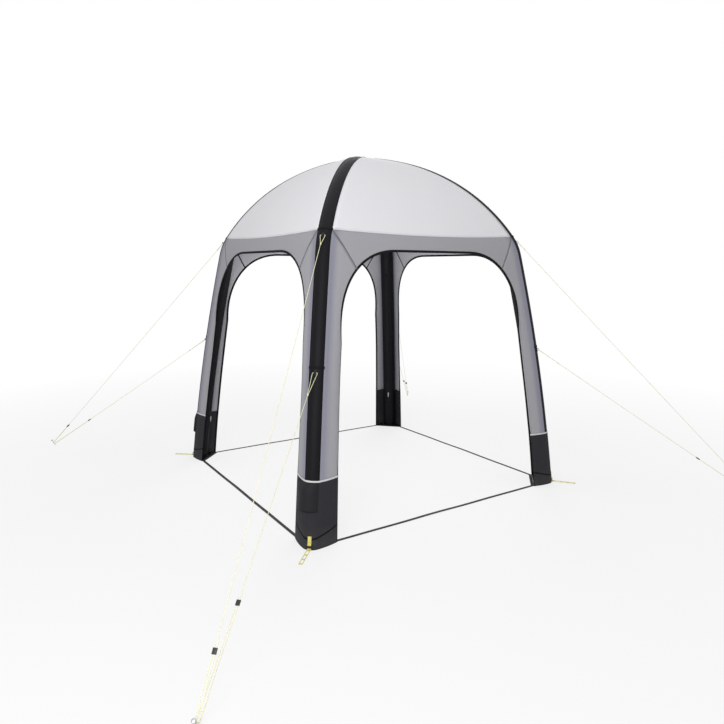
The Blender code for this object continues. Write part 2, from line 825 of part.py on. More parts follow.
def strap_corners():
    """A leg's share of the ground strap in plan: outer and inner corners round the boot's heel."""
    outline = sole_outline()
    heel = outline[-1]
    along = (outline[-2] - heel).normalized()
    inward = Vector((-along.y, along.x))
    if inward.x > 0:
        inward = -inward
    flip = Vector((1.0, -1.0))
    face_inward = Vector((-1.0, -1.0)) / ROOT_TWO
    corner = outline[-2].lerp(heel, STRAP_CORNER) + inward * 2 * CLEARANCE
    outer_heel = mitre(heel, inward, inward * flip, 2 * CLEARANCE)
    inner = mitre(corner, face_inward, inward, STRAP_WIDTH)
    inner_heel = mitre(outer_heel, inward, inward * flip, STRAP_WIDTH)
    return (corner * flip, outer_heel, corner), (inner * flip, inner_heel, inner)


def ground_strap(looks):
    """Webbing round the footprint: along each side and across the inner side of each boot."""
    outer = []
    inner = []
    for azimuth in sorted(LEGS.values()):
        turn = Matrix.Rotation(math.radians(azimuth), 2)
        for corners, loop in zip(strap_corners(), (outer, inner)):
            loop += [turn @ corner for corner in corners]
    mesh = frozen("ground_strap", flat_outline("ground_strap", [outer, inner], STRAP))
    mesh.transform(Matrix.Translation((0.0, 0.0, STRAP_RISE + STRAP / 2)))
    add("ground_strap", mesh, looks["webbing"])


def foot_ring_bar(height):
    """The middle of a bar of a foot ring, which hangs along the boot."""
    lift = BOOT_LIFT + BOOT_CLOTH + CLEARANCE + FOOT_LOOP_BORE + FOOT_LOOP_WALL
    point = skin_point(outer_angle(height), 0.0, 0.0, lift)
    point.z = height
    return point


def tab_meshes():
    """The yellow tab sewn on a boot's corner, and its loop round the foot ring's upper bar."""
    upper = foot_ring_bar(FOOT_RING_BOTTOM + FOOT_RING_HEIGHT)
    loop = pipe_mesh("tab_loop", FOOT_LOOP_BORE, FOOT_LOOP_WALL, TAB_WIDTH, upper)
    rows = []
    for height in (upper.z + TAB_HEIGHT, upper.z):
        face = skin_point(outer_angle(height), 0.0, 0.0, BOOT_LIFT + BOOT_CLOTH / 2)
        rows.append([face + Vector((0.0, side * TAB_WIDTH / 2, 0.0)) for side in (-1.0, 1.0)])
    tab = add("foot_tab", grid_mesh("foot_tab", rows), None)
    thicken(tab, TAB_THICKNESS)
    return [freeze(tab, "foot_tab"), loop]


def foot_rings(looks):
    """A rounded oblong ring between each foot tab and its ladder strap."""
    low = foot_ring_bar(FOOT_RING_BOTTOM)
    rise = foot_ring_bar(FOOT_RING_BOTTOM + FOOT_RING_HEIGHT) - low
    half = FOOT_RING_WIDTH / 2 - FOOT_RING_CORNER
    top = rise.length - FOOT_RING_CORNER
    path = []
    for centre_y, centre_z, start in (
        (half, FOOT_RING_CORNER, -90), (half, top, 0), (-half, top, 90), (-half, FOOT_RING_CORNER, 180),
    ):
        for k in range(3):
            turn = math.radians(start + 45 * k)
            offset = Vector((0.0, math.cos(turn), math.sin(turn))) * FOOT_RING_CORNER
            path.append(Vector((0.0, centre_y, centre_z)) + offset)
    mesh = frozen("foot_ring", tube("foot_ring", path, FOOT_RING_WIRE, 1, closed=True))
    mesh.transform(Matrix.Rotation(math.atan2(rise.x, rise.z), 4, "Y"))
    for leg, azimuth in LEGS.items():
        add("foot_ring_" + leg, mesh, looks["plastic"], azimuth, low)


def ladder_mesh():
    """A yellow strap with peg slots, drawn level round its hinge line."""
    slot = (LADDER_LENGTH - LADDER_RUNG * (LADDER_SLOTS + 2)) / LADDER_SLOTS
    begin = FOOT_LOOP_BORE + FOOT_LOOP_WALL / 2
    length = LADDER_LENGTH - begin
    strip = box_mesh("peg_ladder", (length, TAB_WIDTH, LADDER_THICKNESS), (begin + length / 2, 0, 0))
    slots = []
    for k in range(LADDER_SLOTS):
        middle = LADDER_RUNG * (k + 2) + slot * (k + 0.5)
        size = (slot, TAB_WIDTH - LADDER_RUNG * 2 / 3, 3 * LADDER_THICKNESS)
        slots.append(box_mesh("ladder_slot", size, (middle, 0, 0)))
    loop = pipe_mesh("ladder_loop", FOOT_LOOP_BORE, FOOT_LOOP_WALL, TAB_WIDTH, (0, 0, 0))
    return combine(add("peg_ladder", strip, None), [loop], slots)


def ladders(looks):
    hinge = foot_ring_bar(FOOT_RING_BOTTOM)
    lean = math.asin((hinge.z - LADDER_THICKNESS / 2 - 2 * CLEARANCE) / LADDER_LENGTH)
    mesh = ladder_mesh()
    mesh.transform(Matrix.Rotation(lean, 4, "Y"))
    for leg, azimuth in LEGS.items():
        add("peg_ladder_" + leg, mesh, looks["yellow"], azimuth, hinge)


def valves(looks):
    """A valve on each beam: a flange on the beam, a neck through the boot and a cap on the neck."""
    flat = BEAM_RADIUS * math.cos(math.pi / BEAM_SIDES) + CLEARANCE
    top = VALVE_FLANGE + VALVE_NECK
    profile = [
        (0.0, top), (VALVE_RADIUS, top), (VALVE_RADIUS, VALVE_FLANGE),
        (VALVE_FLANGE_RADIUS, VALVE_FLANGE), (VALVE_FLANGE_RADIUS, 0.0), (0.0, 0.0),
    ]
    made = turned("valve", profile, 16)
    body = freeze(made, "valve_body")
    profile = [(0.0, CAP_HEIGHT), (CAP_RADIUS * 0.9, CAP_HEIGHT), (CAP_RADIUS, CAP_HEIGHT * 0.8),
               (CAP_RADIUS, 0.0), (0.0, 0.0)]
    grip = (CAP_RADIUS * 1.5, CAP_GRIP, CAP_GRIP)
    bar = box_mesh("grip", grip, (0, 0, CAP_HEIGHT), 0.0006)
    cap = combine(turned("valve_cap", profile, 16), joins=[bar])
    for name, mesh, out in (("valve_body_", body, flat), ("valve_cap_", cap, flat + top + CLEARANCE)):
        for leg in VALVE_LEGS:
            made = add(name + leg, mesh, looks["plastic"])
            made.matrix_world = Matrix.Rotation(math.radians(LEGS[leg]), 4, "Z") @ valve_matrix(out)


def flap_point(across, down):
    """A point of a valve flap: it hangs from the boot's top and bulges over the valve."""
    height = BOOT_HEIGHT - FLAP_DROP - FLAP_LENGTH * down
    angle = face_angle(height)
    turn_share = 0.55
    swell = math.sin(math.pi * across) ** 0.8 * math.sin(min(down / 0.4, 1.0) * math.pi / 2)
    lift = BOOT_LIFT + BOOT_CLOTH + FLAP_SEAT + FLAP_BULGE * swell
    seat = tangent_turn(angle)
    if across < turn_share:
        turn = FLAP_EDGE_TURN - (FLAP_EDGE_TURN + seat) * across / turn_share
        return skin_point(angle, turn, 0.0, lift)
    return skin_point(angle, -seat, FLAP_WING * (across - turn_share) / (1 - turn_share), lift)


def flap_hinge():
    """The hinge line's middle: the furthest out point of the flap's sewn edge."""
    edge = [flap_point(k / 10, 0.0) for k in range(11)]
    chord = (edge[-1] - edge[0]).normalized()
    outwards = Vector((-chord.y, chord.x, 0.0))
    if outwards.x < 0:
        outwards = -outwards
    furthest = max(edge, key=lambda point: point.dot(outwards))
    return furthest, chord


def valve_flaps(looks):
    hinge, _ = flap_hinge()
    rows = []
    for j in range(6):
        rows.append([flap_point(1 - k / 9, j / 5) - hinge for k in range(10)])
    mesh = grid_mesh("valve_flap", rows)
    for leg in VALVE_LEGS:
        made = add("valve_flap_" + leg, mesh, looks["boot"], LEGS[leg], hinge)
        thicken(made, BOOT_CLOTH)


def zip_point(height, sideways, lift):
    """A point on the inner side of a leg's beam."""
    angle = outer_angle(height)
    reach, level = arch_point(angle)
    turn = sideways / BEAM_RADIUS
    out = -(BEAM_RADIUS + lift) * math.cos(turn) - BEAM_RADIUS
    across = (BEAM_RADIUS + lift) * math.sin(turn)
    return Vector((reach + out * math.sin(angle), -across, level + out * math.cos(angle)))


def zip_tapes():
    """The zip's tape on the inner side of both legs of a beam, sunk a little into the sleeve."""
    drop = LEG_TOP - BAND_BOTTOM
    stations = [LEG_TOP - drop * k / LEG_STEPS for k in range(1, LEG_STEPS + 1)]
    heights = [ZIP_TOP] + [z for z in stations if ZIP_BOTTOM < z < ZIP_TOP] + [ZIP_BOTTOM]
    rows = []
    for height in heights:
        rows.append([zip_point(height, ZIP_WIDTH * k / 2, -CLOTH_SEAT) for k in (-1, 0, 1)])
    tape = add("zip_tape", grid_mesh("zip_tape", rows), None)
    thicken(tape, ZIP_TAPE + CLOTH_SEAT)
    first = freeze(tape, "zip_tape")
    second = first.copy()
    second.transform(Matrix.Rotation(math.pi, 4, "Z"))
    return [first, second]


def zip_sliders(looks):
    """A slider with its hanging pull; local X points away from the tape and Z up the zip."""
    body = box_mesh("slider", (SLIDER_THICKNESS, SLIDER_WIDTH, SLIDER_LENGTH), bevel=0.001)
    pull_size = (PULL_THICKNESS, PULL_WIDTH, PULL_LENGTH)
    pull_place = (SLIDER_THICKNESS / 2 + PULL_THICKNESS / 4, 0.0, -PULL_LENGTH * 0.55)
    pull = box_mesh("pull", pull_size, pull_place, 0.0006)
    mesh = combine(add("zip_slider", body, None), joins=[pull])
    lift = ZIP_TAPE + CLEARANCE + SLIDER_THICKNESS / 2
    low = zip_point(SLIDER_HEIGHT, 0.0, lift)
    way = (zip_point(SLIDER_HEIGHT + SLIDER_LENGTH, 0.0, lift) - low).normalized()
    lean = math.atan2(way.x, way.z)
    for leg, azimuth in LEGS.items():
        made = add("zip_slider_" + leg, mesh, looks["pull"], azimuth, low)
        turn = Matrix.Rotation(math.radians(azimuth), 4, "Z") @ Matrix.Rotation(lean, 4, "Y")
        made.rotation_euler = (turn @ Matrix.Rotation(math.pi, 4, "Z")).to_euler()


def main():
    looks = set_up()
    air_beams(looks)
    bands(looks)
    crown_patch(looks)
    roof_panels(looks)
    side_panels(looks)
    boots(looks)
    guy_lines(looks)
    runners(looks)
    pegs(looks)
    ground_strap(looks)
    foot_rings(looks)
    ladders(looks)
    valves(looks)
    valve_flaps(looks)
    zip_sliders(looks)


main()
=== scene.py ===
import math

import bmesh
import bpy
import numpy as np
from mathutils import Matrix, Vector


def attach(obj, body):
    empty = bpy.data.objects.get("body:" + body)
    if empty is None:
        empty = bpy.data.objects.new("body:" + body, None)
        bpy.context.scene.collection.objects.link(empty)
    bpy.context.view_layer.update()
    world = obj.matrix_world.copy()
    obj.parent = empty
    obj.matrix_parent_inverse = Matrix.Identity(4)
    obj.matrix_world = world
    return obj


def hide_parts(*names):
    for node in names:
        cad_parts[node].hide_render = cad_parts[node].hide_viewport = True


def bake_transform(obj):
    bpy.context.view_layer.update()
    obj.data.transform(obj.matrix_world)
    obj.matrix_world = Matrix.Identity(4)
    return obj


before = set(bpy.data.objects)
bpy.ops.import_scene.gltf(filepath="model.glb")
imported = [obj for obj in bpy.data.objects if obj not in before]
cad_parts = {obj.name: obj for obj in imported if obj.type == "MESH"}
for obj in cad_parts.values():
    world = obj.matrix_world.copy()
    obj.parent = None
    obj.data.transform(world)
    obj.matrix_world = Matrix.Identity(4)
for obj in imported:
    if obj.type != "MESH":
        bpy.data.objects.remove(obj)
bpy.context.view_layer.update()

bl_info = {
    "name": "Inflatable shelter",
    "version": (1, 0, 0),
    "blender": (4, 5, 0),
    "location": "3D View > Sidebar > Shelter",
    "description": "A domed shelter on two crossing air beams, with its cloth, guy lines and pegs",
    "category": "Object",
}

# The solids' own sizes, in metres and radians, repeated from the part's source
CROWN_HEIGHT = 2.6846
ROOF_RADIUS = 1.529
ROOF_SWEEP = math.radians(54.3)
SHOULDER_RADIUS = 0.42
SHOULDER_SWEEP = math.radians(22.2)
LEG_RADIUS = 16.0
BEAM_RADIUS = 0.0645
CROSSING_FLAT = 0.093
CROSSING_END = 0.26
CROSSING_SPREAD = 0.29
CROSSING_SINK = 0.0010
CLEARANCE = 0.0003
CLOTH_SEAT = 0.0010
SEAM_GAP = 0.0004
CLOTH = 0.0015
BAND_WIDTH = 0.092
EAVE_SAG = 0.022
WING_AT_FOOT = 0.228
WING_AT_SPRING = 0.202
SPRING_HEIGHT = 1.30
WING_FOLD = 0.026
FOLD_HEIGHT = 0.90
OPENING_HEIGHT = 1.90
OPENING_FLAT = 0.33
OPENING_SQUARENESS = 2.3
PATCH_OVERLAP = 0.022
PATCH_LIFT = 0.0031
BOOT_HEIGHT = 0.44
BOOT_TUCK = 0.02
BOOT_CLOTH = 0.002
BOOT_LIFT = 0.003
SEAM_AT_CORNER = 0.062
SEAM_AT_WING = 0.116
SOLE = 0.003
SOLE_LIP = 0.0005
SOLE_HEEL = 0.02
PEG_REACH = 3.17
CORD_RADIUS = 0.0018
GUY_SAG = 0.004
WEB_LOOP_RADIUS = 0.008
WEB_LOOP_WIDTH = 0.018
WEBBING = 0.0015
STRAND_GAP = 0.011
PEG_TURN_RADIUS = 0.008
TAIL = 0.024
RUNNER_LENGTH = 0.026
RUNNER_WIDTH = 0.022
RUNNER_THICKNESS = 0.009
RUNNER_BORE = 0.0024
PEG_LEAN = math.radians(40.0)
PEG_RADIUS = 0.004
PEG_SHAFT = 0.058
PEG_HEAD_RADIUS = 0.010
PEG_HEAD = 0.012
STRAP_WIDTH = 0.025
STRAP = 0.002
STRAP_RISE = 0.0008
STRAP_CORNER = 0.04
TAB_WIDTH = 0.025
TAB_HEIGHT = 0.055
FOOT_RING_WIDTH = 0.038
FOOT_RING_HEIGHT = 0.026
FOOT_RING_WIRE = 0.002
FOOT_RING_BOTTOM = 0.0095
FOOT_RING_CORNER = 0.006
FOOT_LOOP_BORE = 0.0026
FOOT_LOOP_WALL = 0.0016
LADDER_LENGTH = 0.19
LADDER_THICKNESS = 0.003
LADDER_RUNG = 0.012
LADDER_SLOTS = 3
VALVE_HEIGHT = 0.33
VALVE_FLANGE_RADIUS = 0.021
VALVE_FLANGE = 0.002
VALVE_RADIUS = 0.015
VALVE_NECK = 0.011
CAP_RADIUS = 0.017
CAP_HEIGHT = 0.009
CAP_GRIP = 0.004
FLAP_DROP = 0.012
FLAP_LENGTH = 0.18
FLAP_BULGE = 0.026
FLAP_SEAT = 0.0012
FLAP_WING = 0.09
FLAP_EDGE_TURN = math.radians(38.0)
FLAP_SEWN = 0.0025
FLAP_BEND = 0.030
ZIP_BOTTOM = 0.30
ZIP_TOP = 1.75
ZIP_WIDTH = 0.026
ZIP_TAPE = 0.0012
SLIDER_HEIGHT = 0.40
SLIDER_LENGTH = 0.030
SLIDER_WIDTH = 0.011
SLIDER_THICKNESS = 0.005
PULL_LENGTH = 0.034
PULL_WIDTH = 0.008
PULL_THICKNESS = 0.0025

# Sizes of what only this script makes: trims, folds and rows of stitches
LAID_ON = 0.0001
SEWN_ON = 0.0002
BAND_STITCHES = (0.004, 0.011)
BAND_CLOTH_WIDTH = 0.19
CROSS_TAPE_HALF = 0.008
CROSS_TAPE = 0.0026
CROSS_TAPE_PAST_BAND = 0.006
CROSS_TAPE_ABOVE_GUY = 0.030
WRINKLE_PITCH = 0.034
# Distances from the crown between which the wrinkles set in and fade out
WRINKLES_BEGIN = (0.30, 0.45)
WRINKLES_END = (1.58, 1.78)
BEAM_BOTTOM = 0.03
PATCH_STITCHED_AT = 0.97
# Turns of a knot, their pitch and their reach in radii of the cord
KNOT_TURNS = 3
KNOT_PITCH = 1.7
KNOT_REACH = 2.05
ROOF_RIPPLE = 0.0006
ROOF_SINK = 0.0015
EAVE_STITCHES = (0.005, 0.010)
SIDE_SEAM_HEIGHT = 1.779
SIDE_STITCHES = (-0.004, 0.004)
SIDE_LAP = (0.008, 0.0010)
SIDE_INNER_TAPE = (0.010, 0.0010)
WING_CLOTH_WIDTH = 0.24
SIDE_TOP_CLOTH_WIDTH = 0.30
# Distances from a band's edge over which the painted shade on the side cloth fades out
SHADE_FROM = 0.020
SHADE_TO = 0.080
HOLLOW_AT = 0.22
HOLLOW_WIDTH = 0.10
BINDING = 0.0040
BINDING_BOTTOM = 0.004
BINDING_LEAVES_BOOT = 0.45
PIPING = 0.0032
BOOT_SEAM_HALF = 0.006
BOOT_SEAM = 0.0010
BOOT_SEAM_STITCHES = (0.008, -0.008)
CREASE_BOTTOM = 0.115
CREASE_TOP_BESIDE_FLAP = 0.410
CREASE_TOP_BELOW_FLAP = 0.240
CREASE_WIDTH = 0.007
# Place across the boot, lean and share of the depth of each crease
CREASES = ((0.074, 0.02, 1.0), (0.101, -0.03, 0.7), (0.131, 0.04, 0.9))
TAB = 0.0022
TAB_STITCH = 0.009
FLAP_CLOTH_WIDTH = 0.19
FLAP_EDGE_RADIUS = 0.0019
ZIP_STITCHES = (-0.0105, 0.0105)
TOOTH_PITCH = 0.0018
FLOOR_HALF = 30.0
FLOOR_DROP = 0.0004
# Distances between which the floor fades to white, and how white it is at the middle
FADE_FROM = 2.2
FADE_TO = 6.5
FLOOR_WHITE = 0.74

LEGS = {"front": 225.0, "right": 315.0, "back": 45.0, "left": 135.0}
FACES = {"front_right": 270.0, "back_right": 0.0, "back_left": 90.0, "front_left": 180.0}
VALVE_LEGS = ("front", "left")
# Height on the leg, turn above the ground on the peg, runner and knot along the line
GUYS = {"upper": (2.0, 0.036, 0.26, 0.075), "lower": (1.13, 0.020, 0.50, 0.19)}
BAND_TOP = CLOTH_SEAT + CLOTH
BOOT_TOP = BOOT_LIFT + BOOT_CLOTH
BAND_BOTTOM = BOOT_HEIGHT - BOOT_TUCK
SHOULDER_END = ROOF_SWEEP + SHOULDER_SWEEP
ROOT_TWO = math.sqrt(2.0)
TURN = 2 * math.pi
MERGE_WITHIN = 0.000005
ROUGHNESS_SWING = 0.08
DUST_COLOUR = (0.33, 0.31, 0.28, 1.0)
SHARP_FROM = 35


def paint(red, green, blue):
    """A screen colour from 0 to 255 as the linear colour that a shader takes."""
    shares = [value / 255 for value in (red, green, blue)]
    return tuple(s / 12.92 if s <= 0.04045 else ((s + 0.055) / 1.055) ** 2.4 for s in shares)


# Lines of points


def rings(count):
    """Angles evenly spread round a circle."""
    return TURN * np.arange(count) / count


def spread(low, high, step):
    """Numbers from low to high, evenly spread and about a step apart."""
    return np.linspace(low, high, max(2, int(round(abs(high - low) / step)) + 1))


def rise_between(low, high, value):
    """A smooth step from 0 at low to 1 at high."""
    share = np.clip((value - low) / (high - low), 0.0, 1.0)
    return share * share * (3 - 2 * share)


def between(first, last, share):
    return first * (1 - share) + last * share


def running(points):
    """Distance along a line of points, from its first point to each."""
    return np.concatenate([[0.0], np.cumsum(np.linalg.norm(np.diff(points, axis=0), axis=1))])


def line_length(points):
    return float(np.linalg.norm(np.diff(points, axis=0), axis=1).sum())


def along_line(points, count):
    """A line of points spread again into evenly spaced ones."""
    run = running(points)
    at = np.linspace(0.0, run[-1], count)
    return np.stack([np.interp(at, run, points[:, k]) for k in range(points.shape[1])], -1)


def closed_line(points):
    """A line of points that ends where it starts."""
    return np.concatenate([points, points[:1]])


def both_halves(half):
    """A line's half and its mirror image across the middle, from one end to the other."""
    return np.concatenate([half, half[-2::-1] * [-1.0, 1.0]])


def turned(points, azimuth):
    """Points of a leg's or a face's own frame in the shelter's frame."""
    cos, sin = math.cos(math.radians(azimuth)), math.sin(math.radians(azimuth))
    return np.asarray(points) @ np.array([[cos, sin, 0.0], [-sin, cos, 0.0], [0.0, 0.0, 1.0]])


def way_out(surface, *place):
    """How far the points of a surface move for one metre of lift."""
    return surface(*place, 1.0) - surface(*place, 0.0)


# Shapes of the arches and their cloth, as arrays of points


def arch(angle):
    """Reach and height of the arch's outer line where its normal leans by the angle."""
    angle = np.asarray(angle, float)
    reach, height, start = 0.0, CROWN_HEIGHT, 0.0
    bends = ((ROOF_RADIUS, ROOF_SWEEP), (SHOULDER_RADIUS, SHOULDER_SWEEP), (LEG_RADIUS, math.pi))
    for radius, turn in bends:
        end = np.minimum(angle, start + turn)
        reach = reach + radius * (np.sin(end) - np.sin(start))
        height = height + radius * (np.cos(end) - np.cos(start))
        start = end
    return reach, height


def tangent_turn(angle):
    return np.arctan(np.sin(angle))


def skin(angle, turn, slide, lift):
    """Points over a leg, in its own frame: round the beam by turn, then level along the face by slide."""
    reach, height = arch(angle)
    out = (BEAM_RADIUS + lift) * np.cos(turn) - BEAM_RADIUS
    side = np.where(np.asarray(turn) < 0, -1.0, 1.0)
    x = reach + out * np.sin(angle) - slide / ROOT_TWO
    y = (BEAM_RADIUS + lift) * np.sin(turn) + side * slide / ROOT_TWO
    z = height + out * np.cos(angle)
    return np.stack(np.broadcast_arrays(x, y, z), -1)


def face(angle, along, lift):
    """Points of a face's cloth, in the face's own frame."""
    edge = skin(angle, tangent_turn(angle), 0.0, lift)
    x = (edge[..., 0] + edge[..., 1]) / ROOT_TWO
    return np.stack(np.broadcast_arrays(x, along, edge[..., 2]), -1)


ANGLES = np.linspace(0.0005, 1.60, 16001)
OUTER_LINE = np.stack(arch(ANGLES), -1)
OUTER_RUN = running(OUTER_LINE)
FACE_LINE = face(ANGLES, 0.0, 0.0)
FACE_RUN = running(FACE_LINE)


def outer_angle(height):
    return np.interp(-np.asarray(height, float), -OUTER_LINE[:, 1], ANGLES)


def face_angle(height):
    return np.interp(-np.asarray(height, float), -FACE_LINE[:, 2], ANGLES)


def angle_at(run):
    """The angle at a distance along the arch's outer line from the crown."""
    return np.interp(run, OUTER_RUN, ANGLES)


def run_at(angle):
    return np.interp(angle, ANGLES, OUTER_RUN)


def cloth_run(angle):
    """Distance down a face's cloth from the crown."""
    return np.interp(angle, ANGLES, FACE_RUN)


def band_slide(angle):
    return ROOT_TWO * np.maximum(BAND_WIDTH / 2 - BEAM_RADIUS * np.sin(tangent_turn(angle)), CLOTH / 2)


def band_edge(angle):
    edge = skin(angle, tangent_turn(angle), band_slide(angle), 0.0)
    return (edge[..., 0] - edge[..., 1]) / ROOT_TWO


EDGE_WIDTHS = band_edge(ANGLES)
CROWN_ANGLE = float(np.interp(0.006, EDGE_WIDTHS[:8000], ANGLES[:8000]))
FOOT_ANGLE = float(outer_angle(0.0))
EAVE_HALF = float(band_edge(ROOF_SWEEP)) - SEAM_GAP
EAVE_TOP = float(face(ROOF_SWEEP, 0.0, 0.0)[2])


def wing_width(height):
    """Width of a wing, from the line where the two sides of a leg would meet to its free edge."""
    share = np.minimum(np.asarray(height, float) / SPRING_HEIGHT, 1.0)
    return WING_AT_FOOT + (WING_AT_SPRING - WING_AT_FOOT) * share


def opening_half_width(height):
    return face(face_angle(height), 0.0, 0.0)[..., 0] - wing_width(height)


def fold(height, free):
    """How far a wing comes in from its side's plane; free is 0 at the band and 1 at its free edge."""
    left = np.clip((OPENING_HEIGHT - height) / (OPENING_HEIGHT - FOLD_HEIGHT), 0.0, 1.0)
    return WING_FOLD * left * left * (3 - 2 * left) * free * free


def eave_height(share):
    return EAVE_TOP - EAVE_SAG * (1 - share * share)


def opening_line(low):
    """Half of the arch opening as width and height, from a height on its side to its middle."""
    rise = spread(low, SPRING_HEIGHT, 0.03)
    side = np.stack([opening_half_width(rise), rise], -1)
    angle = np.linspace(0.0, math.pi / 2, 37)[1:]
    width = opening_half_width(SPRING_HEIGHT) - OPENING_FLAT
    across = OPENING_FLAT + width * np.maximum(np.cos(angle), 0.0) ** (2 / OPENING_SQUARENESS)
    up = SPRING_HEIGHT + (OPENING_HEIGHT - SPRING_HEIGHT) * np.sin(angle) ** (2 / OPENING_SQUARENESS)
    top = np.stack([spread(OPENING_FLAT, 0.0, 0.03)[1:], np.full(11, OPENING_HEIGHT)], -1)
    return np.concatenate([side, np.stack([across, up], -1), top])


# Meshes


def chart(across, down):
    """Texture places of a grid in metres: across its rows, and down from row to row."""
    return np.stack(np.broadcast_arrays(across, np.asarray(down)[:, None]), -1)


def grid(name, points, uv, wrap_rows=False, wrap_columns=False, caps=False):
    """A mesh through rows of points; rows run down and each row runs towards +Y on an outer face."""
    rows, columns = points.shape[:2]
    i = np.arange(rows if wrap_rows else rows - 1)[:, None]
    k = np.arange(columns if wrap_columns else columns - 1)[None, :]
    below, beside = (i + 1) % rows, (k + 1) % columns
    corners = [i * columns + k, below * columns + k, below * columns + beside, i * columns + beside]
    quads = np.stack(corners, -1).reshape(-1, 4)
    faces = quads.tolist()
    if caps:
        faces.append(list(range(columns))[::-1])
        faces.append(list(range((rows - 1) * columns, rows * columns)))
    mesh = bpy.data.meshes.new(name)
    mesh.from_pydata(points.reshape(-1, 3).tolist(), [], faces)
    corner_uv = np.stack([uv[i, k], uv[i + 1, k], uv[i + 1, k + 1], uv[i, k + 1]], -2).reshape(-1, 2)
    if caps:
        corner_uv = np.concatenate([corner_uv, uv[0, :columns][::-1], uv[rows - 1, :columns]])
    layer = mesh.uv_layers.new(name="metres")
    layer.data.foreach_set("uv", np.ascontiguousarray(corner_uv, dtype=np.float32).ravel())
    mesh.shade_smooth()
    return mesh


def opened(*meshes):
    """A workable copy of meshes."""
    work = bmesh.new()
    for mesh in meshes:
        work.from_mesh(mesh)
    return work


def closed(work, mesh, sharp_from=SHARP_FROM):
    """Puts a worked shape into a mesh, smooth up to an angle in degrees or all over."""
    work.to_mesh(mesh)
    work.free()
    mesh.shade_smooth()
    if sharp_from:
        mesh.set_sharp_from_angle(angle=math.radians(sharp_from))
    return mesh


def tidy_mesh(mesh, sharp_from=None, solid=True):
    """Merges doubled points and turns the faces of a closed shape outwards."""
    work = opened(mesh)
    bmesh.ops.remove_doubles(work, verts=work.verts, dist=MERGE_WITHIN)
    if solid:
        bmesh.ops.recalc_face_normals(work, faces=work.faces)
    return closed(work, mesh, sharp_from)


def round_section(radius, sides):
    turn = rings(sides)
    return np.stack([radius * np.cos(turn), radius * np.sin(turn)], -1)


def flat_section(width, thickness, centre=(0.0, 0.0)):
    """A flat oblong with rounded edges."""
    edge = thickness / 2
    turn = np.radians([-90, -45, 0, 45, 90])
    right = np.stack([width / 2 - edge + edge * np.cos(turn), edge * np.sin(turn)], -1)
    middle = np.array([[width / 6, edge], [-width / 6, edge]])
    left = -right
    return np.concatenate([right, middle, left, -middle]) + np.array(centre)


def carried(along):
    """Upward directions that follow a line without twisting."""
    up = np.cross(along[0], [0.0, 0.0, 1.0])
    if np.linalg.norm(up) < 0.2:
        up = np.cross(along[0], [1.0, 0.0, 0.0])
    ups = []
    for way in along:
        up = up - way * np.dot(up, way)
        up = up / np.linalg.norm(up)
        ups.append(up)
    return np.array(ups)


def sweep(name, path, section, ups=None, ring=False):
    """A skin with one section along a path or ring; the section's second axis follows ups."""
    path = np.asarray(path, float)
    if ring:
        along = np.roll(path, -1, 0) - np.roll(path, 1, 0)
    else:
        along = np.concatenate([path[1:], path[-1:]]) - np.concatenate([path[:1], path[:-1]])
    along /= np.linalg.norm(along, axis=1)[:, None]
    up = carried(along) if ups is None else np.asarray(ups, float)
    side = np.cross(along, up)
    side /= np.linalg.norm(side, axis=1)[:, None]
    up = np.cross(side, along)
    points = path[:, None] + side[:, None] * section[None, :, :1] + up[:, None] * section[None, :, 1:]
    uv = chart(running(closed_line(section)), running(closed_line(path)))
    return tidy_mesh(grid(name, points, uv, wrap_rows=ring, wrap_columns=True, caps=not ring))


def lathe(name, profile, sides, ribs=0, rib_depth=0.0):
    """A turned shape: radius and height from its top down, with optional ribs on its widest part."""
    profile = np.asarray(profile, float)
    turn = rings(sides)
    widest = profile[:, 0] > profile[:, 0].max() * 0.93
    dent = rib_depth * widest[:, None] * (0.5 + 0.5 * np.cos(ribs * turn))[None, :]
    radius = profile[:, :1] - dent
    height = np.broadcast_to(profile[:, 1:], radius.shape)
    points = np.stack([radius * np.cos(turn), radius * np.sin(turn), height], -1)
    uv = chart(np.linspace(0.0, TURN * profile[:, 0].max(), sides + 1), running(profile))
    return tidy_mesh(grid(name, points, uv, wrap_columns=True), SHARP_FROM)


def block(name, size, centre=(0, 0, 0), bevel=0.0005, segments=2):
    work = bmesh.new()
    place = Matrix.Translation(Vector(centre)) @ Matrix.Diagonal((*size, 1.0))
    bmesh.ops.create_cube(work, size=1.0, matrix=place)
    if bevel:
        bmesh.ops.bevel(work, geom=work.edges, offset=bevel, segments=segments, profile=0.5, affect="EDGES")
    return closed(work, bpy.data.meshes.new(name))


def joined(name, meshes):
    """Several meshes as one."""
    return closed(opened(*meshes), bpy.data.meshes.new(name))


def evaluated(made, name):
    """The plain mesh that an object's modifiers give, without the object."""
    bpy.context.view_layer.update()
    seen = made.evaluated_get(bpy.context.evaluated_depsgraph_get())
    mesh = bpy.data.meshes.new_from_object(seen)
    mesh.name = name
    bpy.data.objects.remove(made, do_unlink=True)
    return mesh


def loose(name, mesh):
    """An object that isn't a piece yet."""
    made = bpy.data.objects.new(name, mesh)
    bpy.context.scene.collection.objects.link(made)
    return made


def bored(name, mesh, cutters):
    """A mesh with others cut out of it."""
    made = loose(name, mesh)
    tools = []
    for cutter in cutters:
        tools.append(loose("cutter", cutter))
        cut = made.modifiers.new("bore", "BOOLEAN")
        cut.object = tools[-1]
    result = evaluated(made, name)
    for tool in tools:
        bpy.data.objects.remove(tool, do_unlink=True)
    return tidy_mesh(result, SHARP_FROM)


def thicken(made, thickness, offset=1.0):
    solid = made.modifiers.new("cloth", "SOLIDIFY")
    solid.thickness = thickness
    solid.offset = offset
    return made


def bevelled(made, width):
    """Rounds the edges of a thickened strap."""
    edge = made.modifiers.new("edges", "BEVEL")
    edge.width = width
    edge.segments = 2
    edge.limit_method = "ANGLE"
    return made


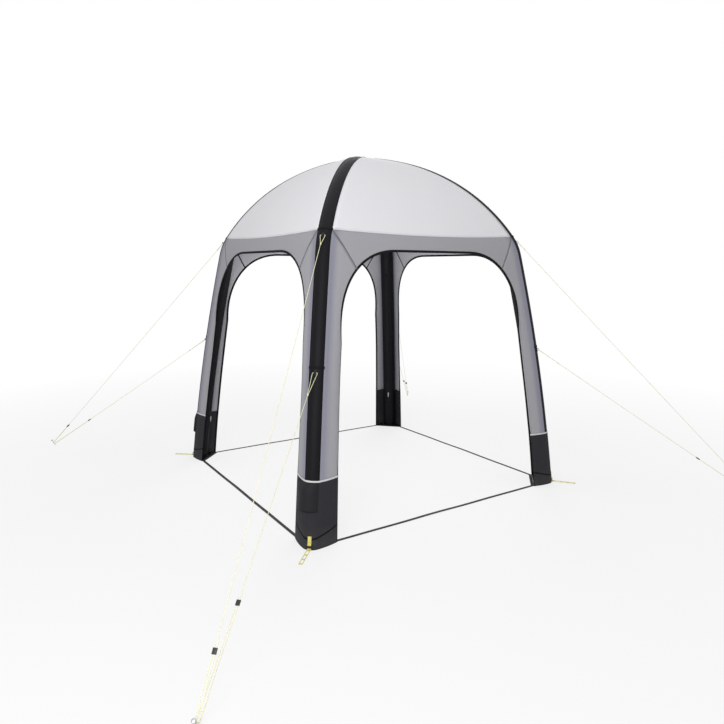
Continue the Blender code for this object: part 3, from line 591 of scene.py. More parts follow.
def thick(name, mesh, thickness):
    """The plain mesh of a sheet with its thickness."""
    return evaluated(thicken(loose(name, mesh), thickness), name)


def piece(name, mesh, looks, body="shelter", nodes=(), bend=None):
    """A finished piece in place, riding on its body, or with its place baked into its mesh where a bend is
    given.
    """
    mesh.materials.clear()
    mesh.materials.append(look(looks))
    made = loose(name, mesh)
    if bend:
        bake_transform(made)
    else:
        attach(made, body)
    if nodes:
        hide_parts(*nodes)
    return made


def leaning(place, lean):
    """A move to a place in a leg's frame after a turn about its Y axis."""
    return Matrix.Translation(Vector(place)) @ Matrix.Rotation(lean, 4, "Y")


def placed(mesh, azimuth):
    copy = mesh.copy()
    copy.transform(Matrix.Rotation(math.radians(azimuth), 4, "Z"))
    return copy


def on_each(name, places, mesh, looks, node=None, body="shelter", thickness=None, bend=None):
    """The same piece on each leg or face; node and body may hold {} for the place's name."""
    made = {}
    for place, azimuth in places.items():
        nodes = (node.format(place),) if node else ()
        copy = placed(mesh, azimuth)
        made[place] = piece(f"{name}_{place}", copy, looks, body.format(place), nodes, bend)
        if thickness:
            thicken(made[place], thickness)
    return made


def surface_area(mesh):
    return sum(polygon.area for polygon in mesh.polygons)


def declare_cloth(width, length, area):
    """Works out the smaller of the cloth's area and its width times its length; the result is not kept."""
    area = min(area, width * length)


# Shader node groups and materials


def add_node(tree, kind, inputs=(), **settings):
    """A node with its settings; inputs are values or sockets by name or number."""
    made = tree.nodes.new(kind)
    for key, value in settings.items():
        setattr(made, key, value)
    for key, value in dict(inputs).items():
        if isinstance(value, bpy.types.NodeSocket):
            tree.links.new(value, made.inputs[key])
        else:
            made.inputs[key].default_value = value
    return made


def maths(tree, operation, *values):
    return add_node(tree, "ShaderNodeMath", enumerate(values), operation=operation).outputs[0]


def start_tree(kind, name, inputs, outputs):
    """An empty group of nodes with its named sockets."""
    tree = bpy.data.node_groups.new(name, kind + "NodeTree")
    for label, value_kind, default in inputs:
        socket = tree.interface.new_socket(label, in_out="INPUT", socket_type="NodeSocket" + value_kind)
        if default is not None:
            socket.default_value = default
    for label, value_kind in outputs:
        tree.interface.new_socket(label, in_out="OUTPUT", socket_type="NodeSocket" + value_kind)
    return tree, tree.nodes.new("NodeGroupInput").outputs, tree.nodes.new("NodeGroupOutput").inputs


def start_pattern(name, pitch):
    """A group for a relief that repeats; gives the phase in both directions of the cloth."""
    sockets = [("Vector", "Vector", None), ("Pitch", "Float", pitch)]
    tree, given, result = start_tree("Shader", name, sockets, [("Height", "Float")])
    apart = add_node(tree, "ShaderNodeSeparateXYZ", {0: given["Vector"]}).outputs
    rate = maths(tree, "DIVIDE", TURN, given["Pitch"])
    across, along = (maths(tree, "MULTIPLY", apart[axis], rate) for axis in "XY")
    return tree, across, along, result["Height"]


def weave_group(name):
    """Crossing threads: a height that rises and falls over and under along both directions."""
    tree, across, along, height = start_pattern(name, 0.001)
    crossing = maths(tree, "MULTIPLY", maths(tree, "SINE", across), maths(tree, "SINE", along))
    tree.links.new(maths(tree, "MULTIPLY_ADD", crossing, 0.5, 0.5), height)
    return tree


def ribs_group(name):
    """Webbing: ribs across the strap and a fainter line of threads along it."""
    tree, across, along, height = start_pattern(name, 0.002)
    shift = maths(tree, "MULTIPLY", maths(tree, "SINE", across), 1.2)
    tree.links.new(maths(tree, "SINE", maths(tree, "ADD", along, shift)), height)
    return tree


def mottle_group(name):
    """Uneven colour: two sizes of soft noise round a middle of 1, to multiply a colour's value by."""
    sockets = [("Vector", "Vector", None), ("Size", "Float", 0.25), ("Amount", "Float", 0.04)]
    tree, given, result = start_tree("Shader", name, sockets, [("Value", "Float"), ("Mask", "Float")])
    rate = maths(tree, "DIVIDE", 1.0, given["Size"])
    inputs = {"Vector": given["Vector"], "Scale": rate, "Detail": 4.0, "Roughness": 0.55}
    wide = add_node(tree, "ShaderNodeTexNoise", inputs).outputs["Fac"]
    fine = dict(inputs, Scale=maths(tree, "MULTIPLY", rate, 9.0))
    small = add_node(tree, "ShaderNodeTexNoise", fine).outputs["Fac"]
    mask = maths(tree, "ADD", maths(tree, "MULTIPLY", wide, 0.7), maths(tree, "MULTIPLY", small, 0.3))
    amount = maths(tree, "MULTIPLY", given["Amount"], 2.0)
    swing = maths(tree, "MULTIPLY", maths(tree, "SUBTRACT", mask, 0.5), amount)
    tree.links.new(maths(tree, "ADD", swing, 1.0), result["Value"])
    tree.links.new(mask, result["Mask"])
    return tree


def dust_group(name):
    """Pale dust that thins out with height above the ground."""
    sockets = [("Vector", "Vector", None), ("Height", "Float", 0.15), ("Amount", "Float", 0.2)]
    tree, given, result = start_tree("Shader", name, sockets, [("Mask", "Float")])
    apart = add_node(tree, "ShaderNodeSeparateXYZ", {0: given["Vector"]})
    fall = maths(tree, "SUBTRACT", 1.0, maths(tree, "DIVIDE", apart.outputs["Z"], given["Height"]))
    fall = maths(tree, "MAXIMUM", fall, 0.0)
    patches = {"Vector": given["Vector"], "Scale": 22.0, "Detail": 5.0}
    patches = add_node(tree, "ShaderNodeTexNoise", patches)
    mask = maths(tree, "MULTIPLY", maths(tree, "MULTIPLY", fall, patches.outputs["Fac"]), given["Amount"])
    tree.links.new(mask, result["Mask"])
    return tree


GROUPS = {
    "Plain weave": weave_group,
    "Webbing ribs": ribs_group,
    "Soft mottling": mottle_group,
    "Ground dust": dust_group,
}


def group_node(tree, label, inputs):
    """What a group of nodes gives, with the group made when it is first asked for."""
    group = bpy.data.node_groups.get(label) or GROUPS[label](label)
    return add_node(tree, "ShaderNodeGroup", inputs, node_tree=group).outputs


def mixed_colour(tree, share, first, second):
    return add_node(tree, "ShaderNodeMix", {0: share, 6: first, 7: second}, data_type="RGBA").outputs[2]


def finish(name, colour, roughness, pattern, pitch, relief, mottle, mottle_size,
           dust=0.0, shade=None, metallic=0.0, gloss=0.5, coat=0.0):
    """A material with uneven colour and roughness, and the relief of its weave, ribs or moulding; given a
    shade colour, it also paints shade where a beam lies behind the cloth.
    """
    made = bpy.data.materials.new(name)
    made.use_nodes = True
    tree = made.node_tree
    shader = tree.nodes["Principled BSDF"]
    where = add_node(tree, "ShaderNodeTexCoord").outputs
    uneven = {"Vector": where["Object"], "Size": mottle_size, "Amount": mottle}
    uneven = group_node(tree, "Soft mottling", uneven)
    base = (*colour, 1.0)
    # Painted shade: the colour turns towards the shade colour where the mesh marks a beam behind the cloth
    if shade:
        cover = add_node(tree, "ShaderNodeAttribute", attribute_name="painted_shade_over_beam").outputs["Fac"]
        base = mixed_colour(tree, cover, base, (*shade, 1.0))
    base = add_node(tree, "ShaderNodeHueSaturation", {"Value": uneven["Value"], "Color": base}).outputs[0]
    if dust:
        mask = group_node(tree, "Ground dust", {"Vector": where["Object"], "Amount": dust})["Mask"]
        base = mixed_colour(tree, mask, base, DUST_COLOUR)
    tree.links.new(base, shader.inputs["Base Color"])
    low, high = roughness - ROUGHNESS_SWING, min(roughness + ROUGHNESS_SWING, 1.0)
    swing = add_node(tree, "ShaderNodeMapRange", {0: uneven["Mask"], 3: low, 4: high})
    tree.links.new(swing.outputs[0], shader.inputs["Roughness"])
    if pattern:
        height = group_node(tree, pattern, {"Vector": where["UV"], "Pitch": pitch})["Height"]
    else:
        grain = {"Vector": where["Object"], "Scale": 1 / pitch, "Detail": 2.0}
        height = add_node(tree, "ShaderNodeTexNoise", grain).outputs["Fac"]
    bump = add_node(tree, "ShaderNodeBump", {"Height": height, "Distance": relief, "Strength": 0.6})
    tree.links.new(bump.outputs[0], shader.inputs["Normal"])
    shader.inputs["Metallic"].default_value = metallic
    shader.inputs["Specular IOR Level"].default_value = gloss
    shader.inputs["Coat Weight"].default_value = coat
    return made


# Setting of the colour, roughness, pattern, pitch, relief, mottling, the mottling's size, and the rest
LOOKS = {
    "Roof cloth": ("roof_colour", 0.62, "Plain weave", 0.0011, 0.00012, 0.025, 0.5, {"gloss": 0.25}),
    "Side cloth": ("side_colour", 0.68, "Plain weave", 0.0011, 0.00012, 0.035, 0.4, {"gloss": 0.2}),
    "Seam tape": ("seam_colour", 0.68, "Webbing ribs", 0.0011, 0.0001, 0.05, 0.2, {"gloss": 0.2}),
    "Sleeve cloth": ("sleeve_colour", 0.50, "Plain weave", 0.0012, 0.00016, 0.10, 0.2, {"gloss": 0.12}),
    "Boot cloth": ("boot_colour", 0.70, "Plain weave", 0.0016, 0.00025, 0.12, 0.15,
                   {"dust": 0.12, "gloss": 0.15}),
    # Darker than the boot cloth, partly its own tone and partly painted shade
    "Flap cloth": ("flap_colour", 0.60, "Plain weave", 0.0014, 0.00018, 0.10, 0.15, {"gloss": 0.15}),
    "Binding tape": ("tape_colour", 0.72, "Webbing ribs", 0.0012, 0.00015, 0.10, 0.1, {"gloss": 0.15}),
    "Piping": ("piping_colour", 0.45, "Webbing ribs", 0.0015, 0.0001, 0.05, 0.1, {}),
    "Yellow webbing": ("yellow_colour", 0.70, "Webbing ribs", 0.0022, 0.0003, 0.06, 0.05, {"dust": 0.12}),
    "Dark webbing": ("webbing_colour", 0.75, "Webbing ribs", 0.0022, 0.0003, 0.12, 0.1,
                     {"dust": 0.12, "gloss": 0.2}),
    "Guy line cord": ("cord_colour", 0.60, "Plain weave", 0.0016, 0.0003, 0.05, 0.08, {}),
    "Black plastic": ("plastic_colour", 0.38, None, 0.0006, 0.00004, 0.10, 0.03, {"coat": 0.1}),
    "Galvanised steel": ("steel_colour", 0.36, None, 0.004, 0.00008, 0.14, 0.01, {"metallic": 1.0}),
    "Zip pull": ("pull_colour", 0.42, None, 0.0006, 0.00004, 0.06, 0.02, {}),
    "Dark thread": ("thread_colour", 0.6, None, 0.0004, 0.00003, 0.05, 0.02, {}),
    "Pale thread": ("pale_thread_colour", 0.6, None, 0.0004, 0.00003, 0.05, 0.02, {}),
}


def look(name):
    """The material of a name, made when it is first asked for."""
    found = bpy.data.materials.get(name)
    if found:
        return found
    s = bpy.context.scene.shelter
    setting, *middle, rest = LOOKS[name]
    # Only the side cloth gets painted shade, where a beam lies behind it
    shade = s.side_painted_shade_colour if name == "Side cloth" else None
    return finish(name, getattr(s, setting), *middle, shade=shade, **rest)


# Geometry Nodes trees for stitches and zip teeth


def grow_tree(name, sockets, make_form):
    """A tree that lays a form at even steps along each line of edges."""
    sockets = [("Geometry", "Geometry", None), *sockets, ("Material", "Material", None)]
    tree, given, result = start_tree("Geometry", name, sockets, [("Geometry", "Geometry")])
    curve = add_node(tree, "GeometryNodeMeshToCurve", {0: given["Geometry"]}).outputs[0]
    step = {"Curve": curve, "Length": given["Pitch"]}
    spaced = add_node(tree, "GeometryNodeResampleCurve", step, mode="LENGTH").outputs[0]
    tangent = add_node(tree, "GeometryNodeInputTangent").outputs[0]
    aligned = add_node(tree, "FunctionNodeAlignRotationToVector", {"Vector": tangent}, axis="Z").outputs[0]
    spaced, form, aligned = make_form(tree, given, spaced, aligned)
    laid = {"Points": spaced, "Instance": form, "Rotation": aligned}
    real = add_node(tree, "GeometryNodeInstanceOnPoints", laid).outputs[0]
    real = add_node(tree, "GeometryNodeRealizeInstances", {0: real}).outputs[0]
    done = add_node(tree, "GeometryNodeSetMaterial", {"Geometry": real, "Material": given["Material"]})
    tree.links.new(done.outputs[0], result[0])
    return tree


def stitch_form(tree, given, spaced, aligned):
    half = maths(tree, "MULTIPLY", given["Thickness"], 0.5)
    stitch = {"Vertices": 5, "Radius": half, "Depth": given["Length"]}
    return spaced, add_node(tree, "GeometryNodeMeshCylinder", stitch).outputs["Mesh"], aligned


def tooth_form(tree, given, spaced, aligned):
    """Teeth that stand to one side of the line and the other in turn."""
    turn = {"Rotation": aligned, "Vector": given["Side"]}
    aligned = add_node(tree, "FunctionNodeAlignRotationToVector", turn, axis="X").outputs[0]
    odd = maths(tree, "MODULO", add_node(tree, "GeometryNodeInputIndex").outputs[0], 2.0)
    step = maths(tree, "MULTIPLY", maths(tree, "MULTIPLY_ADD", odd, 2.0, -1.0), given["Offset"])
    shift = {0: given["Side"], "Scale": step}
    shift = add_node(tree, "ShaderNodeVectorMath", shift, operation="SCALE").outputs[0]
    spaced = add_node(tree, "GeometryNodeSetPosition", {"Geometry": spaced, "Offset": shift}).outputs[0]
    return spaced, add_node(tree, "GeometryNodeMeshCube", {"Size": given["Size"]}).outputs["Mesh"], aligned


FORMS = {
    "Stitch row": (stitch_form, [
        ("Pitch", "Float", 0.005), ("Length", "Float", 0.0035), ("Thickness", "Float", 0.0008),
    ]),
    "Zip teeth": (tooth_form, [
        ("Pitch", "Float", 0.0016), ("Size", "Vector", (0.0036, 0.0015, 0.0011)),
        ("Side", "Vector", (0.0, 1.0, 0.0)), ("Offset", "Float", 0.0012),
    ]),
}


def grown(name, lines, kind, values):
    """The plain mesh that a kind of form makes along lines of points."""
    make_form, sockets = FORMS[kind]
    tree = bpy.data.node_groups.get(kind) or grow_tree(kind, sockets, make_form)
    points, edges = [], []
    for line in lines:
        start = len(points)
        points += np.asarray(line).tolist()
        edges += [(start + k, start + k + 1) for k in range(len(line) - 1)]
    base = bpy.data.meshes.new(name)
    base.from_pydata(points, edges, [])
    made = loose(name, base)
    modifier = made.modifiers.new("rows", "NODES")
    modifier.node_group = tree
    for item in tree.interface.items_tree:
        if item.item_type == "SOCKET" and item.in_out == "INPUT" and item.name in values:
            modifier[item.identifier] = values[item.name]
    mesh = evaluated(made, name)
    mesh.shade_smooth()
    return mesh


def stitches(name, rows, places, looks="Dark thread", pitch=None):
    """Rows of stitches on each leg or face."""
    s = bpy.context.scene.shelter
    values = {"Pitch": pitch or s.stitch_pitch, "Length": s.stitch_length, "Thickness": s.thread_thickness}
    lines = [turned(row, azimuth) for azimuth in places.values() for row in rows]
    piece(name, grown(name, lines, "Stitch row", dict(values, Material=look(looks))), looks)


# Guy lines


def guy_frame(height, on_peg):
    """The centre of a guy's webbing loop, its turn round the peg, and the pull between them."""
    loop = skin(outer_angle(height), 0.0, 0.0, BAND_TOP + WEB_LOOP_RADIUS - WEBBING)
    turn = np.array([PEG_REACH + on_peg * math.sin(PEG_LEAN), 0.0, on_peg * math.cos(PEG_LEAN)])
    pull = (turn - loop) / np.linalg.norm(turn - loop)
    return loop, turn, pull


def guy_length(height, on_peg):
    loop, turn, _ = guy_frame(height, on_peg)
    return float(np.linalg.norm(turn - loop)) - (WEB_LOOP_RADIUS + CLEARANCE)


def guy_points(height, on_peg, from_peg, sideways=0.0):
    """Points of the guy's sagging middle line, moved sideways."""
    _, turn, pull = guy_frame(height, on_peg)
    from_peg = np.asarray(from_peg, float)
    share = np.clip(from_peg / guy_length(height, on_peg), 0.0, 1.0)
    points = turn - from_peg[..., None] * pull
    points[..., 2] -= 4 * GUY_SAG * share * (1 - share)
    points[..., 1] += sideways
    return points


def strand(height, on_peg, knot, side):
    """One side of the loop of cord between a webbing loop and the knot, from inside the webbing."""
    loop, _, pull = guy_frame(height, on_peg)
    seat = WEB_LOOP_RADIUS - WEBBING - CORD_RADIUS - 0.0002
    bend = 2.1 * 2 * CORD_RADIUS
    beside = 1.1 * CORD_RADIUS
    half = WEB_LOOP_WIDTH / 2
    drop = WEB_LOOP_RADIUS + CLEARANCE + knot
    sweep_end = math.pi / 2 + math.atan2(half + bend - beside, drop - seat - bend)
    across = list(np.linspace(0.0, half, 4)[:-1])
    down = [seat] * 3
    for angle in np.linspace(0.0, sweep_end, 9):
        across.append(half + bend * math.sin(angle))
        down.append(seat + bend * (1 - math.cos(angle)))
    last_across, last_down = across[-1], down[-1]
    for share in np.linspace(0.0, 1.0, 10)[1:]:
        across.append(last_across + (beside - last_across) * share)
        down.append(last_down + (drop - last_down) * share)
    points = loop + np.asarray(down)[:, None] * pull
    points[:, 1] += side * np.asarray(across)
    sag = guy_points(height, on_peg, guy_length(height, on_peg) - knot)[2] - (loop + drop * pull)[2]
    points[:, 2] += sag * np.asarray(down) / drop
    return points


def guy_path(height, on_peg, runner, knot):
    """From the webbing loop down one strand, past the knot and the runner, round the peg and back up."""
    length = guy_length(height, on_peg)
    _, turn, pull = guy_frame(height, on_peg)
    slack, close = runner + 3 * RUNNER_LENGTH, runner + RUNNER_LENGTH
    centre_at = PEG_TURN_RADIUS - PEG_RADIUS - CORD_RADIUS - CLEARANCE
    near = 0.12 * runner

    def widened(distance):
        """How much wider the two strands lie near the peg than at the runner."""
        return (PEG_TURN_RADIUS - STRAND_GAP / 2) * (1 - rise_between(near, 0.55 * runner, distance))

    down = np.concatenate([
        spread(length - knot - 0.012, slack, 0.06),
        spread(slack, close, 0.005)[1:],
        spread(close, centre_at, 0.012)[1:],
    ])
    beside = STRAND_GAP / 2 * (1 - rise_between(close, slack, down)) + widened(down)
    outward = guy_points(height, on_peg, down, beside)
    angle = np.linspace(0.0, math.pi, 17)[1:-1]
    centre = turn - centre_at * pull
    round_peg = centre + PEG_TURN_RADIUS * np.sin(angle)[:, None] * pull
    round_peg[:, 1] += PEG_TURN_RADIUS * np.cos(angle)
    up = spread(centre_at, runner + TAIL, 0.012)
    back = guy_points(height, on_peg, up, -(STRAND_GAP / 2 + widened(up)))
    return np.concatenate([strand(height, on_peg, knot, 1.0), outward, round_peg, back])


def knot_path(height, on_peg, knot):
    """Turns of cord round both strands."""
    middle = guy_points(height, on_peg, guy_length(height, on_peg) - knot)
    _, _, pull = guy_frame(height, on_peg)
    side = np.array([0.0, 1.0, 0.0])
    up = np.cross(pull, side)
    angle = np.linspace(0.0, KNOT_TURNS * TURN, 40)
    along = (angle / TURN - KNOT_TURNS / 2) * KNOT_PITCH * CORD_RADIUS
    ring = np.cos(angle)[:, None] * side + np.sin(angle)[:, None] * up
    return middle + along[:, None] * pull + KNOT_REACH * CORD_RADIUS * ring


class ShelterSettings(bpy.types.PropertyGroup):
    """Colours, small sizes and lamp levels of the shelter."""

    def colour(label, about, value):
        return bpy.props.FloatVectorProperty(
            name=label, description=about, subtype="COLOR", size=3, min=0.0, max=1.0, default=value
        )

    def size(label, about, value, unit="LENGTH"):
        return bpy.props.FloatProperty(name=label, description=about, unit=unit, min=0.0, default=value)

    roof_colour: colour("Roof cloth", "Colour of the four roof panels", paint(238, 238, 241))
    side_colour: colour("Side cloth", "Colour of the four sides", paint(168, 168, 173))
    # Painted shade: the sides are darker where the black beam behind them stops light coming through the
    # cloth
    side_painted_shade_colour: colour("Side cloth over a beam", "Colour of the sides where a beam lies behind",
                              paint(146, 146, 160))
    seam_colour: colour("Side seams", "Colour of the tape over the sides' seams", paint(112, 112, 118))
    sleeve_colour: colour("Sleeves", "Colour of the beam sleeves and bands", paint(19, 19, 23))
    boot_colour: colour("Boots", "Colour of the boots", paint(48, 48, 52))
    # The flaps are darker than the boots: partly the cloth's own tone, partly painted shade that sets them
    # off against the lit boot
    flap_colour: colour("Valve flaps", "Colour of the valve flaps", paint(35, 35, 39))
    tape_colour: colour("Binding tape", "Colour of the tape round the openings", paint(14, 14, 16))
    piping_colour: colour("Piping", "Colour of the piping on the boots", paint(214, 214, 213))
    yellow_colour: colour("Foot webbing", "Colour of the foot tabs and ladder straps", paint(236, 226, 122))
    webbing_colour: colour("Ground strap", "Colour of the ground strap and loops", paint(46, 46, 50))
    cord_colour: colour("Guy lines", "Colour of the guy lines", paint(245, 241, 200))
    plastic_colour: colour("Plastic parts", "Colour of the runners, rings and valves", paint(24, 24, 26))
    steel_colour: colour("Pegs", "Colour of the pegs' metal", paint(190, 192, 196))
    pull_colour: colour("Zip pulls", "Colour of the zip sliders and pulls", paint(190, 191, 194))
    thread_colour: colour("Dark thread", "Colour of the stitches on dark cloth", paint(58, 58, 64))
    pale_thread_colour: colour("Pale thread", "Colour of the stitches on pale cloth", paint(188, 189, 195))
    floor_colour: colour("Floor", "Colour of the floor", paint(236, 236, 236))
    stitch_pitch: size("Stitch pitch", "Distance from stitch to stitch", 0.005)
    stitch_length: size("Stitch length", "Length of one stitch", 0.0036)
    thread_thickness: size("Thread thickness", "Thickness of a stitch", 0.0008)
    binding_width: size("Binding width", "Width of the tape round the openings", 0.018)
    piping_width: size("Piping width", "Width of the pale tape on the boots' top edges", 0.012)
    welt_radius: size("Welt radius", "Radius of the welts along the bands' edges", 0.0027)
    wrinkle_depth: size("Sleeve wrinkles", "Depth of the wrinkles inside the arches", 0.0022)
    crease_depth: size("Boot creases", "Depth of the upright creases in the boots", 0.0030)
    fold_depth: size("Side folds", "Depth of the soft folds beside the bands", 0.004)
    key_power: size("Main lamp", "Power of the lamp overhead", 44.0, "NONE")
    fill_power: size("Fill lamp", "Power of the lamp in front", 96.0, "NONE")
    back_power: size("Back lamp", "Power of the lamp behind", 110.0, "NONE")
    inner_power: size("Inner lamp", "Power of the soft light under the roof", 20.0, "NONE")
    sky_level: size("Room light", "Level of light all round", 0.48, "NONE")


class SHELTER_OT_stage(bpy.types.Operator):
    """Makes the camera, the lamps, the room light and the floor"""

    bl_idname = "shelter.stage"
    bl_label = "Camera, lamps and floor"

    def execute(self, context):
        s = context.scene.shelter
        scene = context.scene
        scene.view_settings.view_transform = "Standard"
        self.add_camera(scene)
        self.add_lamp("Main lamp", (-1.2, -1.6, 5.6), (0.1, 0.1, 1.0), 4.5, s.key_power)
        self.add_lamp("Fill lamp", (-4.0, -4.0, 2.2), (-0.6, -0.6, 1.5), 2.2, s.fill_power)
        self.add_lamp("Back lamp", (4.6, 4.2, 4.0), (0.4, 0.4, 1.4), 3.5, s.back_power)
        self.add_inner_lamp(s)
        self.add_room_light(scene, s)
        self.add_floor(s)
        return {"FINISHED"}

    def add_camera(self, scene):
        """The photo's camera, solved from the feet, the eaves, the crown and the guy lines."""
        data = bpy.data.cameras.new("Camera")
        data.lens = 29.844
        data.sensor_width = 36.0
        data.shift_x = 0.00276
        data.shift_y = 0.00345
        data.clip_end = 200.0
        camera = loose("Camera", data)
        camera.location = (-2.8711, -4.3670, 1.7959)
        yaw, pitch, roll = math.radians(56.8993), math.radians(-9.2097), math.radians(0.2521)
        ahead = math.cos(pitch)
        forward = Vector((math.cos(yaw) * ahead, math.sin(yaw) * ahead, math.sin(pitch)))
        level = Vector((math.sin(yaw), -math.cos(yaw), 0.0))
        upright = level.cross(forward)
        right = level * math.cos(roll) + upright * math.sin(roll)
        up = -level * math.sin(roll) + upright * math.cos(roll)
        camera.rotation_euler = Matrix((right, up, -forward)).transposed().to_euler()
        scene.camera = camera

    def add_lamp(self, name, place, aim, size, power):
        data = bpy.data.lights.new(name, "AREA")
        data.size = size
        data.energy = power
        lamp = loose(name, data)
        lamp.location = place
        lamp.rotation_euler = (Vector(aim) - Vector(place)).to_track_quat("-Z", "Y").to_euler()

    def add_inner_lamp(self, s):
        """Soft light under the roof, in place of what comes through the pale cloth."""
        data = bpy.data.lights.new("Inner lamp", "POINT")
        data.energy = s.inner_power
        data.shadow_soft_size = 0.5
        loose("Inner lamp", data).location = (0.0, 0.0, 1.55)

    def add_room_light(self, scene, s):
        """An even pale room that the camera sees as white."""
        scene.world = bpy.data.worlds.new("Room")
        scene.world.use_nodes = True
        tree = scene.world.node_tree
        room = tree.nodes["Background"]
        room.inputs["Color"].default_value = (0.99, 0.99, 1.0, 1.0)
        room.inputs["Strength"].default_value = s.sky_level
        white = add_node(tree, "ShaderNodeBackground", {"Color": (1, 1, 1, 1), "Strength": 1.0})
        path = add_node(tree, "ShaderNodeLightPath").outputs
        seen = maths(tree, "MAXIMUM", path["Is Camera Ray"], path["Is Glossy Ray"])
        seen = maths(tree, "MAXIMUM", seen, path["Is Transmission Ray"])
        mixed = add_node(tree, "ShaderNodeMixShader", {0: seen, 1: room.outputs[0], 2: white.outputs[0]})
        tree.links.new(mixed.outputs[0], tree.nodes["World Output"].inputs["Surface"])

    def add_floor(self, s):
        """A wide floor that keeps the object's shadow and fades to the white of the room."""
        line = np.linspace(-FLOOR_HALF, FLOOR_HALF, 13)
        points = np.stack([*np.meshgrid(line, -line), np.full((13, 13), -FLOOR_DROP)], -1)
        mesh = grid("floor", points, points[..., :2])
        looks = bpy.data.materials.new("Floor")
        looks.use_nodes = True
        tree = looks.node_tree
        shader = tree.nodes["Principled BSDF"]
        shader.inputs["Roughness"].default_value = 0.9
        where = add_node(tree, "ShaderNodeTexCoord").outputs["Object"]
        noise = {"Vector": where, "Scale": 3.0, "Detail": 3.0}
        noise = add_node(tree, "ShaderNodeTexNoise", noise).outputs["Fac"]
        low = (*(c * 0.98 for c in s.floor_colour), 1.0)
        tone = mixed_colour(tree, noise, low, (*s.floor_colour, 1.0))
        tree.links.new(tone, shader.inputs["Base Color"])
        reach = add_node(tree, "ShaderNodeVectorMath", {0: where}, operation="LENGTH").outputs["Value"]
        fade = {0: reach, 1: FADE_FROM, 2: FADE_TO, 3: FLOOR_WHITE, 4: 1.0}
        fade = add_node(tree, "ShaderNodeMapRange", fade).outputs[0]
        seen = maths(tree, "MULTIPLY", add_node(tree, "ShaderNodeLightPath").outputs["Is Camera Ray"], fade)
        white = add_node(tree, "ShaderNodeEmission", {"Color": (1, 1, 1, 1), "Strength": 1.0})
        mixed = add_node(tree, "ShaderNodeMixShader", {0: seen, 1: shader.outputs[0], 2: white.outputs[0]})
        tree.links.new(mixed.outputs[0], tree.nodes["Material Output"].inputs["Surface"])
        mesh.materials.append(looks)
        loose("floor", mesh)


class SHELTER_OT_guy_lines(bpy.types.Operator):
    """Makes the eight guy lines with their knots, runners and pegs"""

    bl_idname = "shelter.guy_lines"
    bl_label = "Guy lines, runners and pegs"

    def execute(self, context):
        pegs = self.pegs()
        runner = self.runner_mesh()
        for place, (height, on_peg, from_peg, knot) in GUYS.items():
            main = guy_path(height, on_peg, from_peg, knot)
            short = strand(height, on_peg, knot, -1.0)
            turns = sweep("knot", knot_path(height, on_peg, knot), round_section(0.95 * CORD_RADIUS, 8))
            for leg, azimuth in LEGS.items():
                ending = leg + "_" + place
                tied = piece("knot_" + ending, placed(turns, azimuth), "Guy line cord")
                slid = self.runner(runner, leg, place, azimuth)
                others = [tied, slid, pegs[leg]]
                self.cord("line_" + ending, turned(main, azimuth), "object", others, ("guy_line_" + ending,))
                self.cord("strand_" + ending, turned(short, azimuth), "knot", [])
        return {"FINISHED"}

    def cord(self, name, path, far_end, others, nodes=()):
        mesh = sweep(name, path, round_section(CORD_RADIUS, 10))
        made = piece(name, mesh, "Guy line cord", nodes=nodes)

    def runner_mesh(self):
        """A waisted block with two bores and finger ridges; its length lies along X."""
        half = np.array([0.0, 0.28, 0.5, 0.72, 0.94, 1.0])
        x = RUNNER_LENGTH / 2 * np.concatenate([-half[:0:-1], half])
        grip = np.array([0.88, 1.0, 1.0, 0.90, 1.0, 0.90, 1.0, 0.90, 1.0, 1.0, 0.88])
        turn = rings(28)
        box = (np.abs(np.cos(turn)) ** 5 + np.abs(np.sin(turn)) ** 5) ** -0.2
        y = np.outer(grip, RUNNER_WIDTH / 2 * np.minimum(box * np.cos(turn), 1.0))
        z = np.outer(np.sqrt(grip), RUNNER_THICKNESS / 2 * box * np.sin(turn))
        points = np.stack([np.broadcast_to(x[:, None], y.shape), y, z], -1)
        uv = chart(np.linspace(0, 0.06, 29), x)
        body = tidy_mesh(grid("runner", points, uv, wrap_columns=True, caps=True), SHARP_FROM)
        bores = []
        for side in (-1.0, 1.0):
            line = np.array([[-RUNNER_LENGTH, 0, 0], [RUNNER_LENGTH, 0, 0]]) + [0, side * STRAND_GAP / 2, 0]
            bores.append(sweep("bore", line, round_section(RUNNER_BORE, 16)))
        return bored("runner", body, bores)

    def runner(self, mesh, leg, place, azimuth):
        height, on_peg, from_peg, _ = GUYS[place]
        _, _, pull = guy_frame(height, on_peg)
        length = guy_length(height, on_peg)
        slope = 4 * GUY_SAG * (1 - 2 * from_peg / length) / length
        way = Vector(-pull) - Vector((0.0, 0.0, slope))
        centre = guy_points(height, on_peg, from_peg)
        copy = mesh.copy()
        copy.transform(leaning(centre, math.atan2(-way.z, way.x)))
        ending = leg + "_" + place
        nodes = ("guy_runner_" + ending,)
        copy = placed(copy, azimuth)
        return piece("runner_" + ending, copy, "Black plastic", "runner_" + ending, nodes)

    def pegs(self):
        """Turned pegs with a rounded head, cut off level with the ground."""
        top = PEG_SHAFT + PEG_HEAD
        bottom = -3 * PEG_RADIUS
        head = ((0.0, 1.0), (0.45, 0.99), (0.75, 0.94), (0.93, 0.84),
                (1.0, 0.70), (1.0, 0.30), (0.94, 0.16), (0.6, 0.05))
        head = [(PEG_HEAD_RADIUS * r, PEG_SHAFT + PEG_HEAD * h) for r, h in head]
        shaft = [(PEG_RADIUS, level) for level in (PEG_SHAFT, top * 0.3, bottom)]
        mesh = lathe("peg", [*head, *shaft, (0.0, bottom)], 32)
        mesh.transform(leaning((PEG_REACH, 0, 0), PEG_LEAN))
        below = block("ground", (0.2, 0.2, 0.1), (PEG_REACH, 0, -0.05), bevel=0)
        mesh = bored("peg", mesh, [below])
        return on_each("tent_peg", LEGS, mesh, "Galvanised steel", "peg_{}")


def crossing_share(reach):
    """1 where the beams lie on each other at the crown, 0 where they are round again."""
    return 1 - rise_between(CROSSING_FLAT, CROSSING_END, reach)


